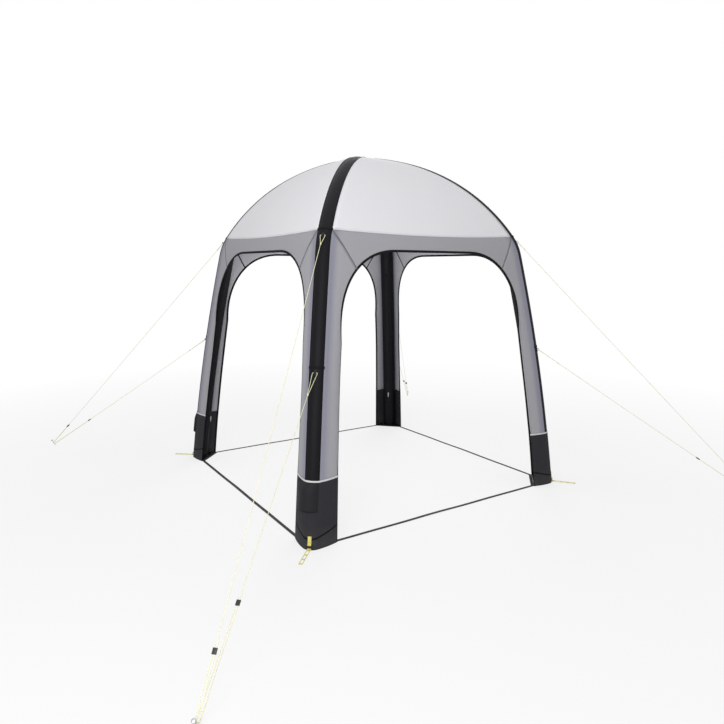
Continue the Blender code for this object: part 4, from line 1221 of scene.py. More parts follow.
class SHELTER_OT_air_beams(bpy.types.Operator):
    """Makes the two crossing air beams in their sleeves"""

    bl_idname = "shelter.air_beams"
    bl_label = "Air beams"

    def execute(self, context):
        s = context.scene.shelter
        for name, azimuth, under in (("front_back", 45.0, False), ("left_right", 135.0, True)):
            mesh = placed(self.beam_mesh(s, under), azimuth)
            nodes = ("air_beam_" + name,)
            made = piece("beam_" + name, mesh, "Sleeve cloth", nodes=nodes)
        return {"FINISHED"}

    def beam_mesh(self, s, under):
        bends = run_at(SHOULDER_END)
        lowest = run_at(outer_angle(BEAM_BOTTOM))
        run = np.concatenate([spread(0.008, bends, 0.008), spread(bends, lowest, 0.05)[1:]])
        sides = 48
        turn = rings(sides)[None, :]
        one = self.half(s, run, turn, under)
        foot = one[-1].copy()
        rest = SOLE + CLEARANCE
        foot[:, 0] += (foot[:, 2] - rest) / math.tan(FOOT_ANGLE)
        foot[:, 2] = rest
        one = np.concatenate([one, foot[None]])
        other = one[::-1] * np.array([-1.0, 1.0, 1.0])
        middle = self.half(s, np.array([0.0]), turn, under)
        points = np.concatenate([other, middle, one])
        uv = chart(np.linspace(0.0, TURN * BEAM_RADIUS, sides + 1), running(points[:, 0]))
        return tidy_mesh(grid("beam", points, uv, wrap_columns=True, caps=True), 60)

    def half(self, s, run, turn, under):
        """Rings of one side of a beam, in the beam's upright plane."""
        run = run[:, None]
        angle = np.where(run > 0, angle_at(run), 0.0)
        reach, height = arch(angle)
        squash = crossing_share(reach)
        half_height = BEAM_RADIUS - squash * (BEAM_RADIUS / 2 + CLEARANCE / 4)
        half_width = BEAM_RADIUS * (1 + CROSSING_SPREAD * squash)
        depth = (2 * BEAM_RADIUS - half_height if under else half_height) + CROSSING_SINK * squash
        inside = np.clip(-np.cos(turn) + 0.15, 0.0, 1.0)
        curved = rise_between(*WRINKLES_BEGIN, run) * (1 - rise_between(*WRINKLES_END, run))
        uneven = 1.7 * np.sin(run * 9.0) + 1.2 * np.sin(3 * turn + 2 * run)
        crease = 0.5 + 0.5 * np.sin(TURN * run / WRINKLE_PITCH + uneven)
        dent = 0.0002 + s.wrinkle_depth * inside * curved * crease ** 2
        out = (half_height - dent) * np.cos(turn) - depth
        across = (half_width - dent) * np.sin(turn)
        return np.stack([reach + out * np.sin(angle), across, height + out * np.cos(angle)], -1)


def band_points(angles, lift, inset=0.0):
    """Rows across a band, with the texture place of each point."""
    turn = tangent_turn(angles)[:, None]
    slide = (band_slide(angles) - inset)[:, None]
    shares = np.linspace(-1.0, 1.0, 17)[None, :]
    arc = skin(angles[:, None], turn * shares, 0.0, lift)
    outer = np.array([1.0, 0.66, 0.33])[None, :]
    left = skin(angles[:, None], -turn, slide * outer, lift)
    right = skin(angles[:, None], turn, slide * outer[:, ::-1], lift)
    half = BEAM_RADIUS * turn + slide * outer
    across = np.concatenate([-half, BEAM_RADIUS * turn * shares, half[:, ::-1]], 1)
    return np.concatenate([left, arc, right], 1), chart(across, run_at(angles))


class SHELTER_OT_bands(bpy.types.Operator):
    """Makes the outer bands of the sleeves with their webbing loops, and the crown patch"""

    bl_idname = "shelter.bands"
    bl_label = "Bands and crown patch"

    def execute(self, context):
        s = context.scene.shelter
        angles = angle_at(spread(run_at(CROWN_ANGLE), run_at(outer_angle(BAND_BOTTOM)), 0.02))
        points, uv = band_points(angles, CLOTH_SEAT)
        cloth = grid("band", points, uv)
        area = surface_area(cloth)
        made = on_each("band", LEGS, cloth, "Sleeve cloth", "beam_band_{}", "shelter", CLOTH)
        tapes = self.cross_tapes()
        loops = self.loops()
        for leg in LEGS:
            length = line_length(points[:, 11])
            declare_cloth(BAND_CLOTH_WIDTH, length, area)
        self.welts(s, angles)
        self.edge_stitches(angles)
        self.patch()
        return {"FINISHED"}

    def cross_tapes(self):
        """Webbing sewn across each band, at the eave and above the lower guy loop."""
        strips = []
        for height in (float(arch(ROOF_SWEEP)[1]), GUYS["lower"][0] + CROSS_TAPE_ABOVE_GUY):
            middle = run_at(outer_angle(height))
            angles = angle_at(middle + np.linspace(-CROSS_TAPE_HALF, CROSS_TAPE_HALF, 4))
            points, uv = band_points(angles, BAND_TOP + LAID_ON, -CROSS_TAPE_PAST_BAND)
            strips.append(thick("tape", grid("tape", points, uv), CROSS_TAPE))
        return on_each("band_tapes", LEGS, joined("band_tapes", strips), "Binding tape")

    def loops(self):
        """A loop of webbing at each guy point, its two tails sewn flat to the band."""
        parts = []
        for height, on_peg, _, _ in GUYS.values():
            centre, _, _ = guy_frame(height, on_peg)
            angle = float(outer_angle(height))
            out = np.array([math.sin(angle), 0.0, math.cos(angle)])
            down = np.array([math.cos(angle), 0.0, -math.sin(angle)])
            radius = WEB_LOOP_RADIUS - WEBBING / 2
            turn = np.radians(np.linspace(180, -180, 33))
            ring = centre + radius * (np.cos(turn)[:, None] * out + np.sin(turn)[:, None] * -down)
            section = flat_section(WEB_LOOP_WIDTH, WEBBING)
            parts.append(sweep("loop", ring[:-1], section, ring[:-1] - centre, ring=True))
            for way in (-1.0, 1.0):
                angles = angle_at(run_at(angle) + way * np.array([0.002, 0.006, 0.010, 0.018]))
                tail = skin(angles, 0.0, 0.0, BAND_TOP + WEBBING / 2 + LAID_ON)
                section = flat_section(WEB_LOOP_WIDTH, WEBBING * 0.9)
                parts.append(sweep("tail", tail, section, np.broadcast_to(out, tail.shape)))
        return on_each("guy_loops", LEGS, joined("guy_loops", parts), "Dark webbing")

    def welts(self, s, angles):
        """A thin corded welt along each edge of a band."""
        parts = []
        for side in (-1.0, 1.0):
            slide = band_slide(angles) - s.welt_radius / 2
            path = skin(angles, side * tangent_turn(angles), slide, BAND_TOP)
            parts.append(sweep("welt", path, round_section(s.welt_radius, 8)))
        on_each("band_welts", LEGS, joined("band_welts", parts), "Binding tape")

    def edge_stitches(self, angles):
        rows = []
        for side in (-1.0, 1.0):
            for inset in BAND_STITCHES:
                slide = np.maximum(band_slide(angles) - inset, 0.0)
                rows.append(skin(angles, side * tangent_turn(angles), slide, BAND_TOP + SEWN_ON))
        stitches("band_stitches", rows, LEGS, pitch=0.008)

    def patch(self):
        """A square of sleeve cloth over the crossing, with its corners on the bands."""
        edge = CROWN_ANGLE + PATCH_OVERLAP / ROOF_RADIUS
        angles = np.linspace(0.0, edge, 12)
        corners = []
        for azimuth in sorted(LEGS.values()):
            corners.append(turned(skin(angles, 0.0, 0.0, PATCH_LIFT), azimuth))
            corners.append(turned(face(angles, 0.0, PATCH_LIFT), azimuth + 45.0))
        corners = np.stack(corners, 1)
        corners[0] = (0.0, 0.0, CROWN_HEIGHT + PATCH_LIFT)
        following = np.roll(corners, -1, 1)
        share = np.arange(6)[None, None, :, None] / 6
        points = between(corners[:, :, None], following[:, :, None], share).reshape(len(angles), -1, 3)
        uv = np.concatenate([points, points[:, :1]], 1)[..., :2]
        mesh = tidy_mesh(grid("crown_patch", points, uv, wrap_columns=True), solid=False)
        area = surface_area(mesh)
        made = piece("crown_cover", mesh, "Sleeve cloth", nodes=("crown_patch",))
        thicken(made, CLOTH)
        width = 2 * float(np.abs(points[-1, :, 0]).max())
        declare_cloth(width, width, area)
        inner = points[-1] * [PATCH_STITCHED_AT, PATCH_STITCHED_AT, 1.0] + [0.0, 0.0, CLOTH + 0.0006]
        stitches("crown_stitches", [closed_line(inner)], {"crown": 0.0})


class SHELTER_OT_roof(bpy.types.Operator):
    """Makes the four roof panels"""

    bl_idname = "shelter.roof"
    bl_label = "Roof panels"

    def execute(self, context):
        shares = np.linspace(-1.0, 1.0, 49)[None, :]
        down = np.linspace(0.0, 1.0, 49)[:, None]
        rim = CROWN_ANGLE + (ROOF_SWEEP - CROWN_ANGLE) * down
        eave = face_angle(eave_height(shares) + SEAM_GAP / 2)
        angle = CROWN_ANGLE + (eave - CROWN_ANGLE) * down
        along = shares * (band_edge(rim) - SEAM_GAP)
        held = (1 - shares ** 2) * np.sin(math.pi * down) ** 0.7
        ripple = np.sin(17.0 * along + 6.0 * down) + np.sin(31.0 * along - 9.0 * down) / 2
        lift = CLOTH_SEAT + held * (ROOF_RIPPLE * ripple - ROOF_SINK)
        points = face(angle, along, lift)
        uv = np.stack([along, cloth_run(angle)], -1)
        mesh = grid("roof", points, uv)
        area = surface_area(mesh)
        made = on_each("roof", FACES, mesh, "Roof cloth", "roof_panel_{}", "shelter", CLOTH)
        for panel in made.values():
            declare_cloth(2 * EAVE_HALF, line_length(points[:, 24]), area)
        rows = []
        share = np.linspace(-1.0, 1.0, 60)
        for offset in EAVE_STITCHES:
            height = eave_height(share) + offset
            rows.append(face(face_angle(height), share * (EAVE_HALF - 0.004), BAND_TOP + 0.0003))
        stitches("eave_stitches", rows, FACES, "Pale thread")
        return {"FINISHED"}


class SHELTER_OT_sides(bpy.types.Operator):
    """Makes the four sides, each of a top panel and two wings, with the binding round the opening"""

    bl_idname = "shelter.sides"
    bl_label = "Sides and bindings"

    def execute(self, context):
        s = context.scene.shelter
        low = float(face(outer_angle(BAND_BOTTOM), 0.0, 0.0)[2])
        outline = opening_line(low)
        split = int(np.argmin(np.abs(outline[:, 1] - SIDE_SEAM_HEIGHT)))
        self.wings(s, low, along_line(outline[:split + 1], 61))
        self.top(outline[split:])
        self.binding(s)
        return {"FINISHED"}

    def cloth(self, width, height, lift):
        angle = face_angle(height)
        edge = band_edge(angle)
        across = wing_width(height) - face(angle, 0.0, 0.0)[..., 0] + edge
        free = np.maximum(edge - np.abs(width), 0.0) / across
        points = face(angle, width, lift)
        points[..., 0] -= fold(height, free)
        return points

    def panel(self, name, width, height, lift):
        """A mesh from arrays of width and height, marked for painted shade where a beam lies behind it."""
        angle = face_angle(height)
        mesh = grid(name, self.cloth(width, height, lift), np.stack([width, cloth_run(angle)], -1))
        # Painted shade: full next to the band, where the beam behind stops light through the cloth, fading
        # out away from it
        cover = 1 - rise_between(SHADE_FROM, SHADE_TO, band_edge(angle) - np.abs(width))
        mark = mesh.attributes.new("painted_shade_over_beam", "FLOAT", "POINT")
        mark.data.foreach_set("value", np.ascontiguousarray(cover, dtype=np.float32).ravel())
        return mesh

    def wings(self, s, low, edge):
        rise = np.linspace(low, EAVE_TOP - SEAM_GAP / 2, 61)
        rim = np.stack([band_edge(face_angle(rise)) - SEAM_GAP, rise], -1)
        share = np.linspace(0.0, 1.0, 19)[None, :]
        width, height = (between(rim[:, k, None], edge[:, k, None], share) for k in (0, 1))
        ends = np.sin(math.pi * np.linspace(0.02, 0.98, 61))[:, None] ** 0.5
        hollow = np.exp(-((share - HOLLOW_AT) / HOLLOW_WIDTH) ** 2)
        hollow = hollow + 0.35 * np.sin(11.0 * share + 2.5 * height)
        lift = CLOTH_SEAT - s.fold_depth * 0.6 * np.sin(math.pi * share) ** 0.8 * ends * hollow
        length = line_length(self.cloth(rim[:, 0], rim[:, 1], 0.0))
        for side, label in ((1.0, "a"), (-1.0, "b")):
            order = slice(None) if side > 0 else slice(None, None, -1)
            mesh = self.panel("wing", side * width[order], height[order], lift[order])
            area = surface_area(mesh)
            made = on_each("wing_" + label, FACES, mesh, "Side cloth", thickness=CLOTH)
            for wing in made.values():
                declare_cloth(max(area / length * 1.25, WING_CLOTH_WIDTH), length, area)

    def top(self, half_edge):
        edge = along_line(both_halves(half_edge), 97)
        reach = np.linspace(1.0, -1.0, 97)
        rim = np.stack([EAVE_HALF * reach, eave_height(reach) - SEAM_GAP / 2], -1)
        share = np.linspace(0.0, 1.0, 13)[None, :]
        width, height = (between(rim[:, k, None], edge[:, k, None], share) for k in (0, 1))
        held = np.sin(math.pi * share) * (1 - reach[:, None] ** 4)
        lift = CLOTH_SEAT + held * 0.0012 * np.sin(13.0 * width + 3.0 * height)
        mesh = self.panel("side_top", width, height, lift)
        area = surface_area(mesh)
        made = on_each("side_top", FACES, mesh, "Side cloth", "side_panel_{}", "shelter", CLOTH)
        for panel in made.values():
            drop = max(SIDE_TOP_CLOTH_WIDTH, area / (2 * EAVE_HALF) * 1.3)
            declare_cloth(2 * EAVE_HALF, drop, area)
        self.seams([np.stack([width[row], height[row]], -1) for row in (0, -1)])

    def seams(self, seam):
        """The lapped seams from the eave's corners to the opening, with stitches on each side."""
        rows, laps, tapes = [], [], []
        for ends in seam:
            way = ends[-1] - ends[0]
            across = np.array([-way[1], way[0]]) / np.linalg.norm(way)
            middle = along_line(ends, 20)
            for offset in SIDE_STITCHES:
                row = middle + across * offset
                rows.append(self.cloth(row[:, 0], row[:, 1], BAND_TOP + 0.0010))
            width, height = middle.T
            ups = way_out(self.cloth, width, height)
            path = self.cloth(width, height, BAND_TOP + SEWN_ON)
            laps.append(sweep("lap", path, flat_section(*SIDE_LAP), ups))
            path = self.cloth(width, height, CLOTH_SEAT - 0.0007)
            tapes.append(sweep("tape", path[1:], flat_section(*SIDE_INNER_TAPE), ups[1:]))
        on_each("side_laps", FACES, joined("side_laps", laps), "Seam tape")
        tapes = joined("side_inner_tapes", tapes)
        on_each("side_inner_tapes", FACES, tapes, "Binding tape")
        stitches("side_stitches", rows, FACES, "Pale thread")

    def binding(self, s):
        """Folded tape over the edge of the opening, from one foot over the top to the other."""
        whole = both_halves(opening_line(BINDING_BOTTOM))
        width, height = whole.T
        on_boot = height <= BINDING_LEAVES_BOOT
        lift = np.where(on_boot, BOOT_LIFT + BOOT_CLOTH / 2, CLOTH_SEAT + CLOTH / 2)
        lift = np.convolve(np.pad(lift, 2, mode="edge"), np.ones(5) / 5, mode="valid")
        section = flat_section(s.binding_width, BINDING, (s.binding_width / 2 - 0.001, 0.0))
        ups = way_out(self.cloth, width, height)
        mesh = sweep("binding", self.cloth(width, height, lift), section, ups)
        on_each("opening_binding", FACES, mesh, "Binding tape")
        side = np.gradient(whole, axis=0)
        side = np.stack([side[:, 1], -side[:, 0]], -1) / np.linalg.norm(side, axis=1)[:, None]
        row = whole + side * (s.binding_width - 0.003)
        line = self.cloth(row[:, 0], row[:, 1], lift + 0.0022)
        stitches("binding_stitches", [line], FACES, pitch=0.006)


def boot_points(heights, lift, wing_from=0.0):
    """Level rows round a boot, from one wing's end round the beam to the other's, and how far across."""
    heights = np.asarray(heights, float)
    angle = face_angle(heights)
    turn = tangent_turn(angle)
    tangent = skin(angle, turn, 0.0, 0.0)
    wing = (tangent[:, 0] - tangent[:, 1]) / ROOT_TWO - opening_half_width(heights)
    outer = np.linspace(1.0 - wing_from, 0.0, 25)[:-1][None, :]
    shares = np.linspace(-1.0, 1.0, 21)[None, :]
    angle, turn, wing = angle[:, None], turn[:, None], wing[:, None]
    start = band_slide(angle)
    free = np.maximum(wing * outer - start, 0.0) / (wing - start)
    inward = fold(heights[:, None], free)[..., None] / ROOT_TWO
    wings = [skin(angle, side * turn, wing * outer, lift) - inward * [1.0, side, 0.0] for side in (-1.0, 1.0)]
    points = np.concatenate([wings[0], skin(angle, turn * shares, 0.0, lift), wings[1][:, ::-1]], 1)
    half = BEAM_RADIUS * turn + wing * outer
    return points, np.concatenate([-half, BEAM_RADIUS * turn * shares, half[:, ::-1]], 1)


def foot_centre():
    """Distance from the middle to the centre of a beam's foot."""
    turn = rings(16)
    reach, height = arch(FOOT_ANGLE)
    out = BEAM_RADIUS * np.cos(turn) - BEAM_RADIUS
    x = reach + out * math.sin(FOOT_ANGLE)
    z = height + out * math.cos(FOOT_ANGLE)
    return float((x + (z - SOLE - CLEARANCE) / math.tan(FOOT_ANGLE)).mean())


def sole_outline():
    row = boot_points([0.0], BOOT_TOP + SOLE_LIP)[0][0, :, :2]
    heel = np.array([[foot_centre() - BEAM_RADIUS - SOLE_HEEL, 0.0]])
    return np.concatenate([row, heel])


def ring_bar(height):
    """The middle of a bar of a foot ring, which hangs along the boot."""
    lift = BOOT_TOP + CLEARANCE + FOOT_LOOP_BORE + FOOT_LOOP_WALL
    point = skin(float(outer_angle(height)), 0.0, 0.0, lift)
    point[2] = height
    return point


def y_loop(name, centre, bore, wall, width):
    """A loop of webbing whose bore runs along Y."""
    turn = rings(24)
    line = centre + (bore + wall / 2) * np.stack([np.cos(turn), 0 * turn, np.sin(turn)], -1)
    return sweep(name, line, flat_section(width, wall), line - centre, ring=True)


class SHELTER_OT_boots(bpy.types.Operator):
    """Makes the boots with their soles, piping, seams and foot tabs"""

    bl_idname = "shelter.boots"
    bl_label = "Boots"

    def execute(self, context):
        s = context.scene.shelter
        heights = np.concatenate([spread(BOOT_HEIGHT, 0.02, 0.02), [0.010, SOLE / 2]])
        points, across = boot_points(heights, BOOT_LIFT)
        points[-1, :, 2] = SOLE / 2
        outward = boot_points(heights, 1.0)[0] - boot_points(heights, 0.0)[0]
        points += outward * self.creases(heights[:, None], across, s.crease_depth)[..., None]
        mesh = grid("boot", points, chart(across, -heights))
        area = surface_area(mesh)
        made = on_each("boot_shell", LEGS, mesh, "Boot cloth", "boot_{}", "shelter", BOOT_CLOTH)
        soles = self.soles()
        piping = self.piping(s)
        for leg, shell in made.items():
            declare_cloth(BOOT_HEIGHT, line_length(points[0]) * 1.12, area)
        self.seam()
        self.tabs()
        return {"FINISHED"}

    def creases(self, height, across, depth):
        """Upright creases in a boot's wings, beside the flap on one side and below it on the other."""
        top = np.where(across > 0, CREASE_TOP_BESIDE_FLAP, CREASE_TOP_BELOW_FLAP)
        share = np.clip((height - CREASE_BOTTOM) / (top - CREASE_BOTTOM), 0.0, 1.0)
        held = np.sin(math.pi * share) ** 0.7 * rise_between(0.135, 0.16, height)
        total = 0.0
        for place, lean, share in CREASES:
            off = np.abs(across) - place - lean * (height - 0.25)
            total = total + share * np.exp(-(off / CREASE_WIDTH) ** 2)
        return depth * held * total

    def soles(self):
        outline = sole_outline()
        count = len(outline)
        levels = [(0.985, 0.0002), (1.0, 0.0008), (1.0, SOLE - 0.0006), (0.985, SOLE)]
        middle = outline.mean(0)
        rows = []
        for grow, height in levels:
            rows.append(np.column_stack([between(middle, outline, grow), np.full(count, height)]))
        uv = chart(np.linspace(0, 1, count + 1), [0, 0.001, 0.003, 0.004])
        mesh = tidy_mesh(grid("sole", np.stack(rows), uv, wrap_columns=True, caps=True), SHARP_FROM)
        return on_each("boot_sole", LEGS, mesh, "Black plastic")

    def piping(self, s):
        lines = [boot_points([BOOT_HEIGHT - 0.003], BOOT_LIFT + lift)[0][0] for lift in (BOOT_CLOTH, 1.0)]
        ups = lines[1] - lines[0]
        mesh = sweep("piping", lines[0], flat_section(s.piping_width, PIPING), ups)
        return on_each("boot_piping", LEGS, mesh, "Piping")

    def seam(self):
        """Tape round the boot that dips towards its corner, sewn along both its edges."""
        levels = BOOT_SEAM_HALF * np.array([1.0, 0.0, -1.0])
        points, across = self.dipping(levels, BOOT_TOP + LAID_ON)
        strip = thick("seam", grid("seam", points, chart(across, -levels)), BOOT_SEAM)
        on_each("boot_seam", LEGS, strip, "Binding tape")
        rows = list(self.dipping(BOOT_SEAM_STITCHES, BOOT_TOP + 0.0003)[0])
        rows.append(boot_points([BOOT_HEIGHT - 0.009], BOOT_TOP + 0.0003, 0.03)[0][0])
        stitches("boot_stitches", rows, LEGS)

    def dipping(self, levels, lift):
        """Rows round the boot at levels above or below the line of its seam, and how far across."""
        heights = np.linspace(0.15, 0.03, 25)
        points, across = boot_points(heights, lift, 0.02)
        share = np.abs(across[12]) / np.abs(across[12]).max()
        line = SEAM_AT_CORNER + (SEAM_AT_WING - SEAM_AT_CORNER) * np.minimum(share + 0.04, 1.0)
        place = (heights[0] - line - np.array(levels)[:, None]) / (heights[0] - heights[1])
        row = np.floor(place).astype(int)
        part = (place - row)[..., None]
        column = np.arange(points.shape[1])[None, :]
        found = between(points[row, column], points[row + 1, column], part)
        return found, np.broadcast_to(across[12], place.shape)

    def tabs(self):
        """The yellow tab on each boot's corner, folded round the foot ring's upper bar."""
        upper = ring_bar(FOOT_RING_BOTTOM + FOOT_RING_HEIGHT)
        angles = outer_angle(np.linspace(upper[2] + TAB_HEIGHT, upper[2] + 0.001, 12))
        path = skin(angles, 0.0, 0.0, BOOT_TOP + 0.0010)
        ups = way_out(skin, angles, 0.0, 0.0)
        strap = sweep("tab", path, flat_section(TAB_WIDTH, TAB), ups)
        loop = y_loop("tab_loop", upper, FOOT_LOOP_BORE, FOOT_LOOP_WALL, TAB_WIDTH)
        on_each("foot_tab", LEGS, joined("foot_tab", [strap, loop]), "Yellow webbing")
        sewn = path[:-3] + ups[:-3] * 0.0013
        edge = np.array([0.0, TAB_STITCH, 0.0])
        rows = [sewn - edge, sewn + edge]
        rows += [np.stack([sewn[end] - edge, sewn[end] + edge]) for end in (0, -1)]
        stitches("tab_stitches", rows, LEGS, pitch=0.003)


class SHELTER_OT_foot_straps(bpy.types.Operator):
    """Makes the foot rings, the ladder straps and the ground strap"""

    bl_idname = "shelter.foot_straps"
    bl_label = "Foot rings and straps"

    def execute(self, context):
        self.rings()
        self.ladders()
        self.ground_strap()
        return {"FINISHED"}

    def rings(self):
        low = ring_bar(FOOT_RING_BOTTOM)
        rise = ring_bar(FOOT_RING_BOTTOM + FOOT_RING_HEIGHT) - low
        half = FOOT_RING_WIDTH / 2 - FOOT_RING_CORNER
        top = float(np.linalg.norm(rise)) - FOOT_RING_CORNER
        path = []
        corner = FOOT_RING_CORNER
        for y, z, start in ((half, corner, -90), (half, top, 0), (-half, top, 90), (-half, corner, 180)):
            turn = np.radians(start + np.linspace(0, 90, 7))
            path.append(np.stack([0 * turn, y + corner * np.cos(turn), z + corner * np.sin(turn)], -1))
        path = np.concatenate(path)
        ups = np.broadcast_to([1.0, 0.0, 0.0], path.shape)
        mesh = sweep("foot_ring", path, round_section(FOOT_RING_WIRE, 12), ups, ring=True)
        mesh.transform(leaning(low, math.atan2(rise[0], rise[2])))
        on_each("ring", LEGS, mesh, "Black plastic", "foot_ring_{}")

    def ladders(self):
        """Yellow webbing with three peg slots, lying from the ring to the ground."""
        slot = (LADDER_LENGTH - LADDER_RUNG * (LADDER_SLOTS + 2)) / LADDER_SLOTS
        begin = FOOT_LOOP_BORE + FOOT_LOOP_WALL / 2
        cuts = [begin]
        for k in range(LADDER_SLOTS):
            middle = LADDER_RUNG * (k + 2) + slot * (k + 0.5)
            cuts += [middle - slot / 2, middle + slot / 2]
        cuts.append(LADDER_LENGTH)
        xs = np.unique(np.concatenate([np.linspace(a, b, 5) for a, b in zip(cuts, cuts[1:])]).round(6))
        inner = (TAB_WIDTH - LADDER_RUNG * 2 / 3) / 2
        half = np.array([inner / 3, inner, TAB_WIDTH / 2 - 0.0015, TAB_WIDTH / 2])
        ys = np.concatenate([-half[::-1], half])
        points = np.stack([*np.meshgrid(xs, ys, indexing="ij"), np.zeros((len(xs), len(ys)))], -1)
        mesh = grid("ladder", points, points[..., 1::-1])
        work = opened(mesh)
        slots = []
        for cell in work.faces:
            x, y = cell.calc_center_median()[:2]
            in_slot = any(a < x < b for a, b in zip(cuts[1:-1:2], cuts[2:-1:2]))
            if in_slot and abs(y) < inner:
                slots.append(cell)
        bmesh.ops.delete(work, geom=slots, context="FACES")
        made = thicken(loose("ladder", closed(work, mesh, None)), LADDER_THICKNESS, 0.0)
        strap = evaluated(bevelled(made, 0.0006), "ladder")
        loop = y_loop("ladder_loop", np.zeros(3), FOOT_LOOP_BORE, FOOT_LOOP_WALL, TAB_WIDTH)
        mesh = joined("ladder", [strap, loop])
        hinge = ring_bar(FOOT_RING_BOTTOM)
        lean = math.asin((hinge[2] - LADDER_THICKNESS / 2 - 2 * CLEARANCE) / LADDER_LENGTH)
        mesh.transform(leaning(hinge, lean))
        on_each("ladder_strap", LEGS, mesh, "Yellow webbing", "peg_ladder_{}", "ladder_{}")

    def ground_strap(self):
        """Webbing along each side and across the inner side of each boot, mitred at its corners."""
        outer, inner = [], []
        for azimuth in sorted(LEGS.values()):
            for corners, line in zip(self.corners(), (outer, inner)):
                line += [turned((*corner, 0.0), azimuth) for corner in corners]
        rows = []
        for k in range(len(outer)):
            following = (k + 1) % len(outer)
            long = np.linalg.norm(outer[following] - outer[k]) > 1.0
            shares = np.linspace(0.0, 1.0, 60 if long else 10)[:-1, None, None]
            ends = [np.stack([line[n] for line in (outer, inner)]) for n in (k, following)]
            part = between(*ends, shares)
            if long:
                run = shares[:, 0, 0] * 2.0
                part[:, :, 2] += (0.0016 * np.sin(math.pi * run / 2) ** 2 * (1 + np.sin(9 * run)))[:, None]
            rows.append(part)
        edges = np.concatenate(rows)
        share = np.linspace(0.0, 1.0, 5)[None, :, None]
        points = between(edges[:, :1], edges[:, 1:], share)
        points[..., 2] += STRAP_RISE
        uv = chart(np.linspace(0, STRAP_WIDTH, 5), running(closed_line(edges[:, 0])))
        mesh = grid("ground_strap", points, uv, wrap_rows=True)
        if sum(polygon.normal.z for polygon in mesh.polygons) < 0:
            mesh.flip_normals()
        made = piece("ground_webbing", mesh, "Dark webbing", nodes=("ground_strap",))
        bevelled(thicken(made, STRAP), 0.0005)

    def corners(self):
        outline = sole_outline()
        heel = outline[-1]
        along = (outline[-2] - heel) / np.linalg.norm(outline[-2] - heel)
        inward = np.array([-along[1], along[0]])
        if inward[0] > 0:
            inward = -inward
        flip = np.array([1.0, -1.0])
        face_inward = np.array([-1.0, -1.0]) / ROOT_TWO
        corner = outline[-2] + (heel - outline[-2]) * STRAP_CORNER + inward * 2 * CLEARANCE

        def mitre(point, first, second, width):
            return point + (first + second) * (width / (1 + first.dot(second)))

        outer_heel = mitre(heel, inward, inward * flip, 2 * CLEARANCE)
        inner = mitre(corner, face_inward, inward, STRAP_WIDTH)
        inner_heel = mitre(outer_heel, inward, inward * flip, STRAP_WIDTH)
        return (corner * flip, outer_heel, corner), (inner * flip, inner_heel, inner)


def valve_matrix(out):
    """Where something stands on the valve's axis, at a distance from the beam's centre line."""
    angle = float(outer_angle(VALVE_HEIGHT))
    reach, height = arch(angle)
    normal = Vector((math.sin(angle), 0.0, math.cos(angle)))
    centre = Vector((float(reach), 0.0, float(height))) - normal * BEAM_RADIUS
    turn = -1.5 * TURN / 16
    axis = normal * math.cos(turn) + Vector((0.0, math.sin(turn), 0.0))
    return Matrix.Translation(centre + axis * out) @ axis.to_track_quat("Z", "Y").to_matrix().to_4x4()


def flap_point(across, down):
    """Points of a valve flap: it hangs from the boot's top and bulges over the valve."""
    across, down = np.broadcast_arrays(np.asarray(across, float), np.asarray(down, float))
    height = BOOT_HEIGHT - FLAP_DROP - FLAP_LENGTH * down
    angle = face_angle(height)
    turn_share = 0.55
    swell = np.maximum(np.sin(math.pi * across), 0.0) ** 0.8
    swell = swell * np.sin(np.minimum(down / 0.4, 1.0) * math.pi / 2)
    lift = BOOT_TOP + FLAP_SEAT + FLAP_BULGE * swell
    seat = tangent_turn(angle)
    turn = FLAP_EDGE_TURN - (FLAP_EDGE_TURN + seat) * np.minimum(across / turn_share, 1.0)
    slide = FLAP_WING * np.maximum(across - turn_share, 0.0) / (1 - turn_share)
    return skin(angle, np.where(across < turn_share, turn, -seat), slide, lift)


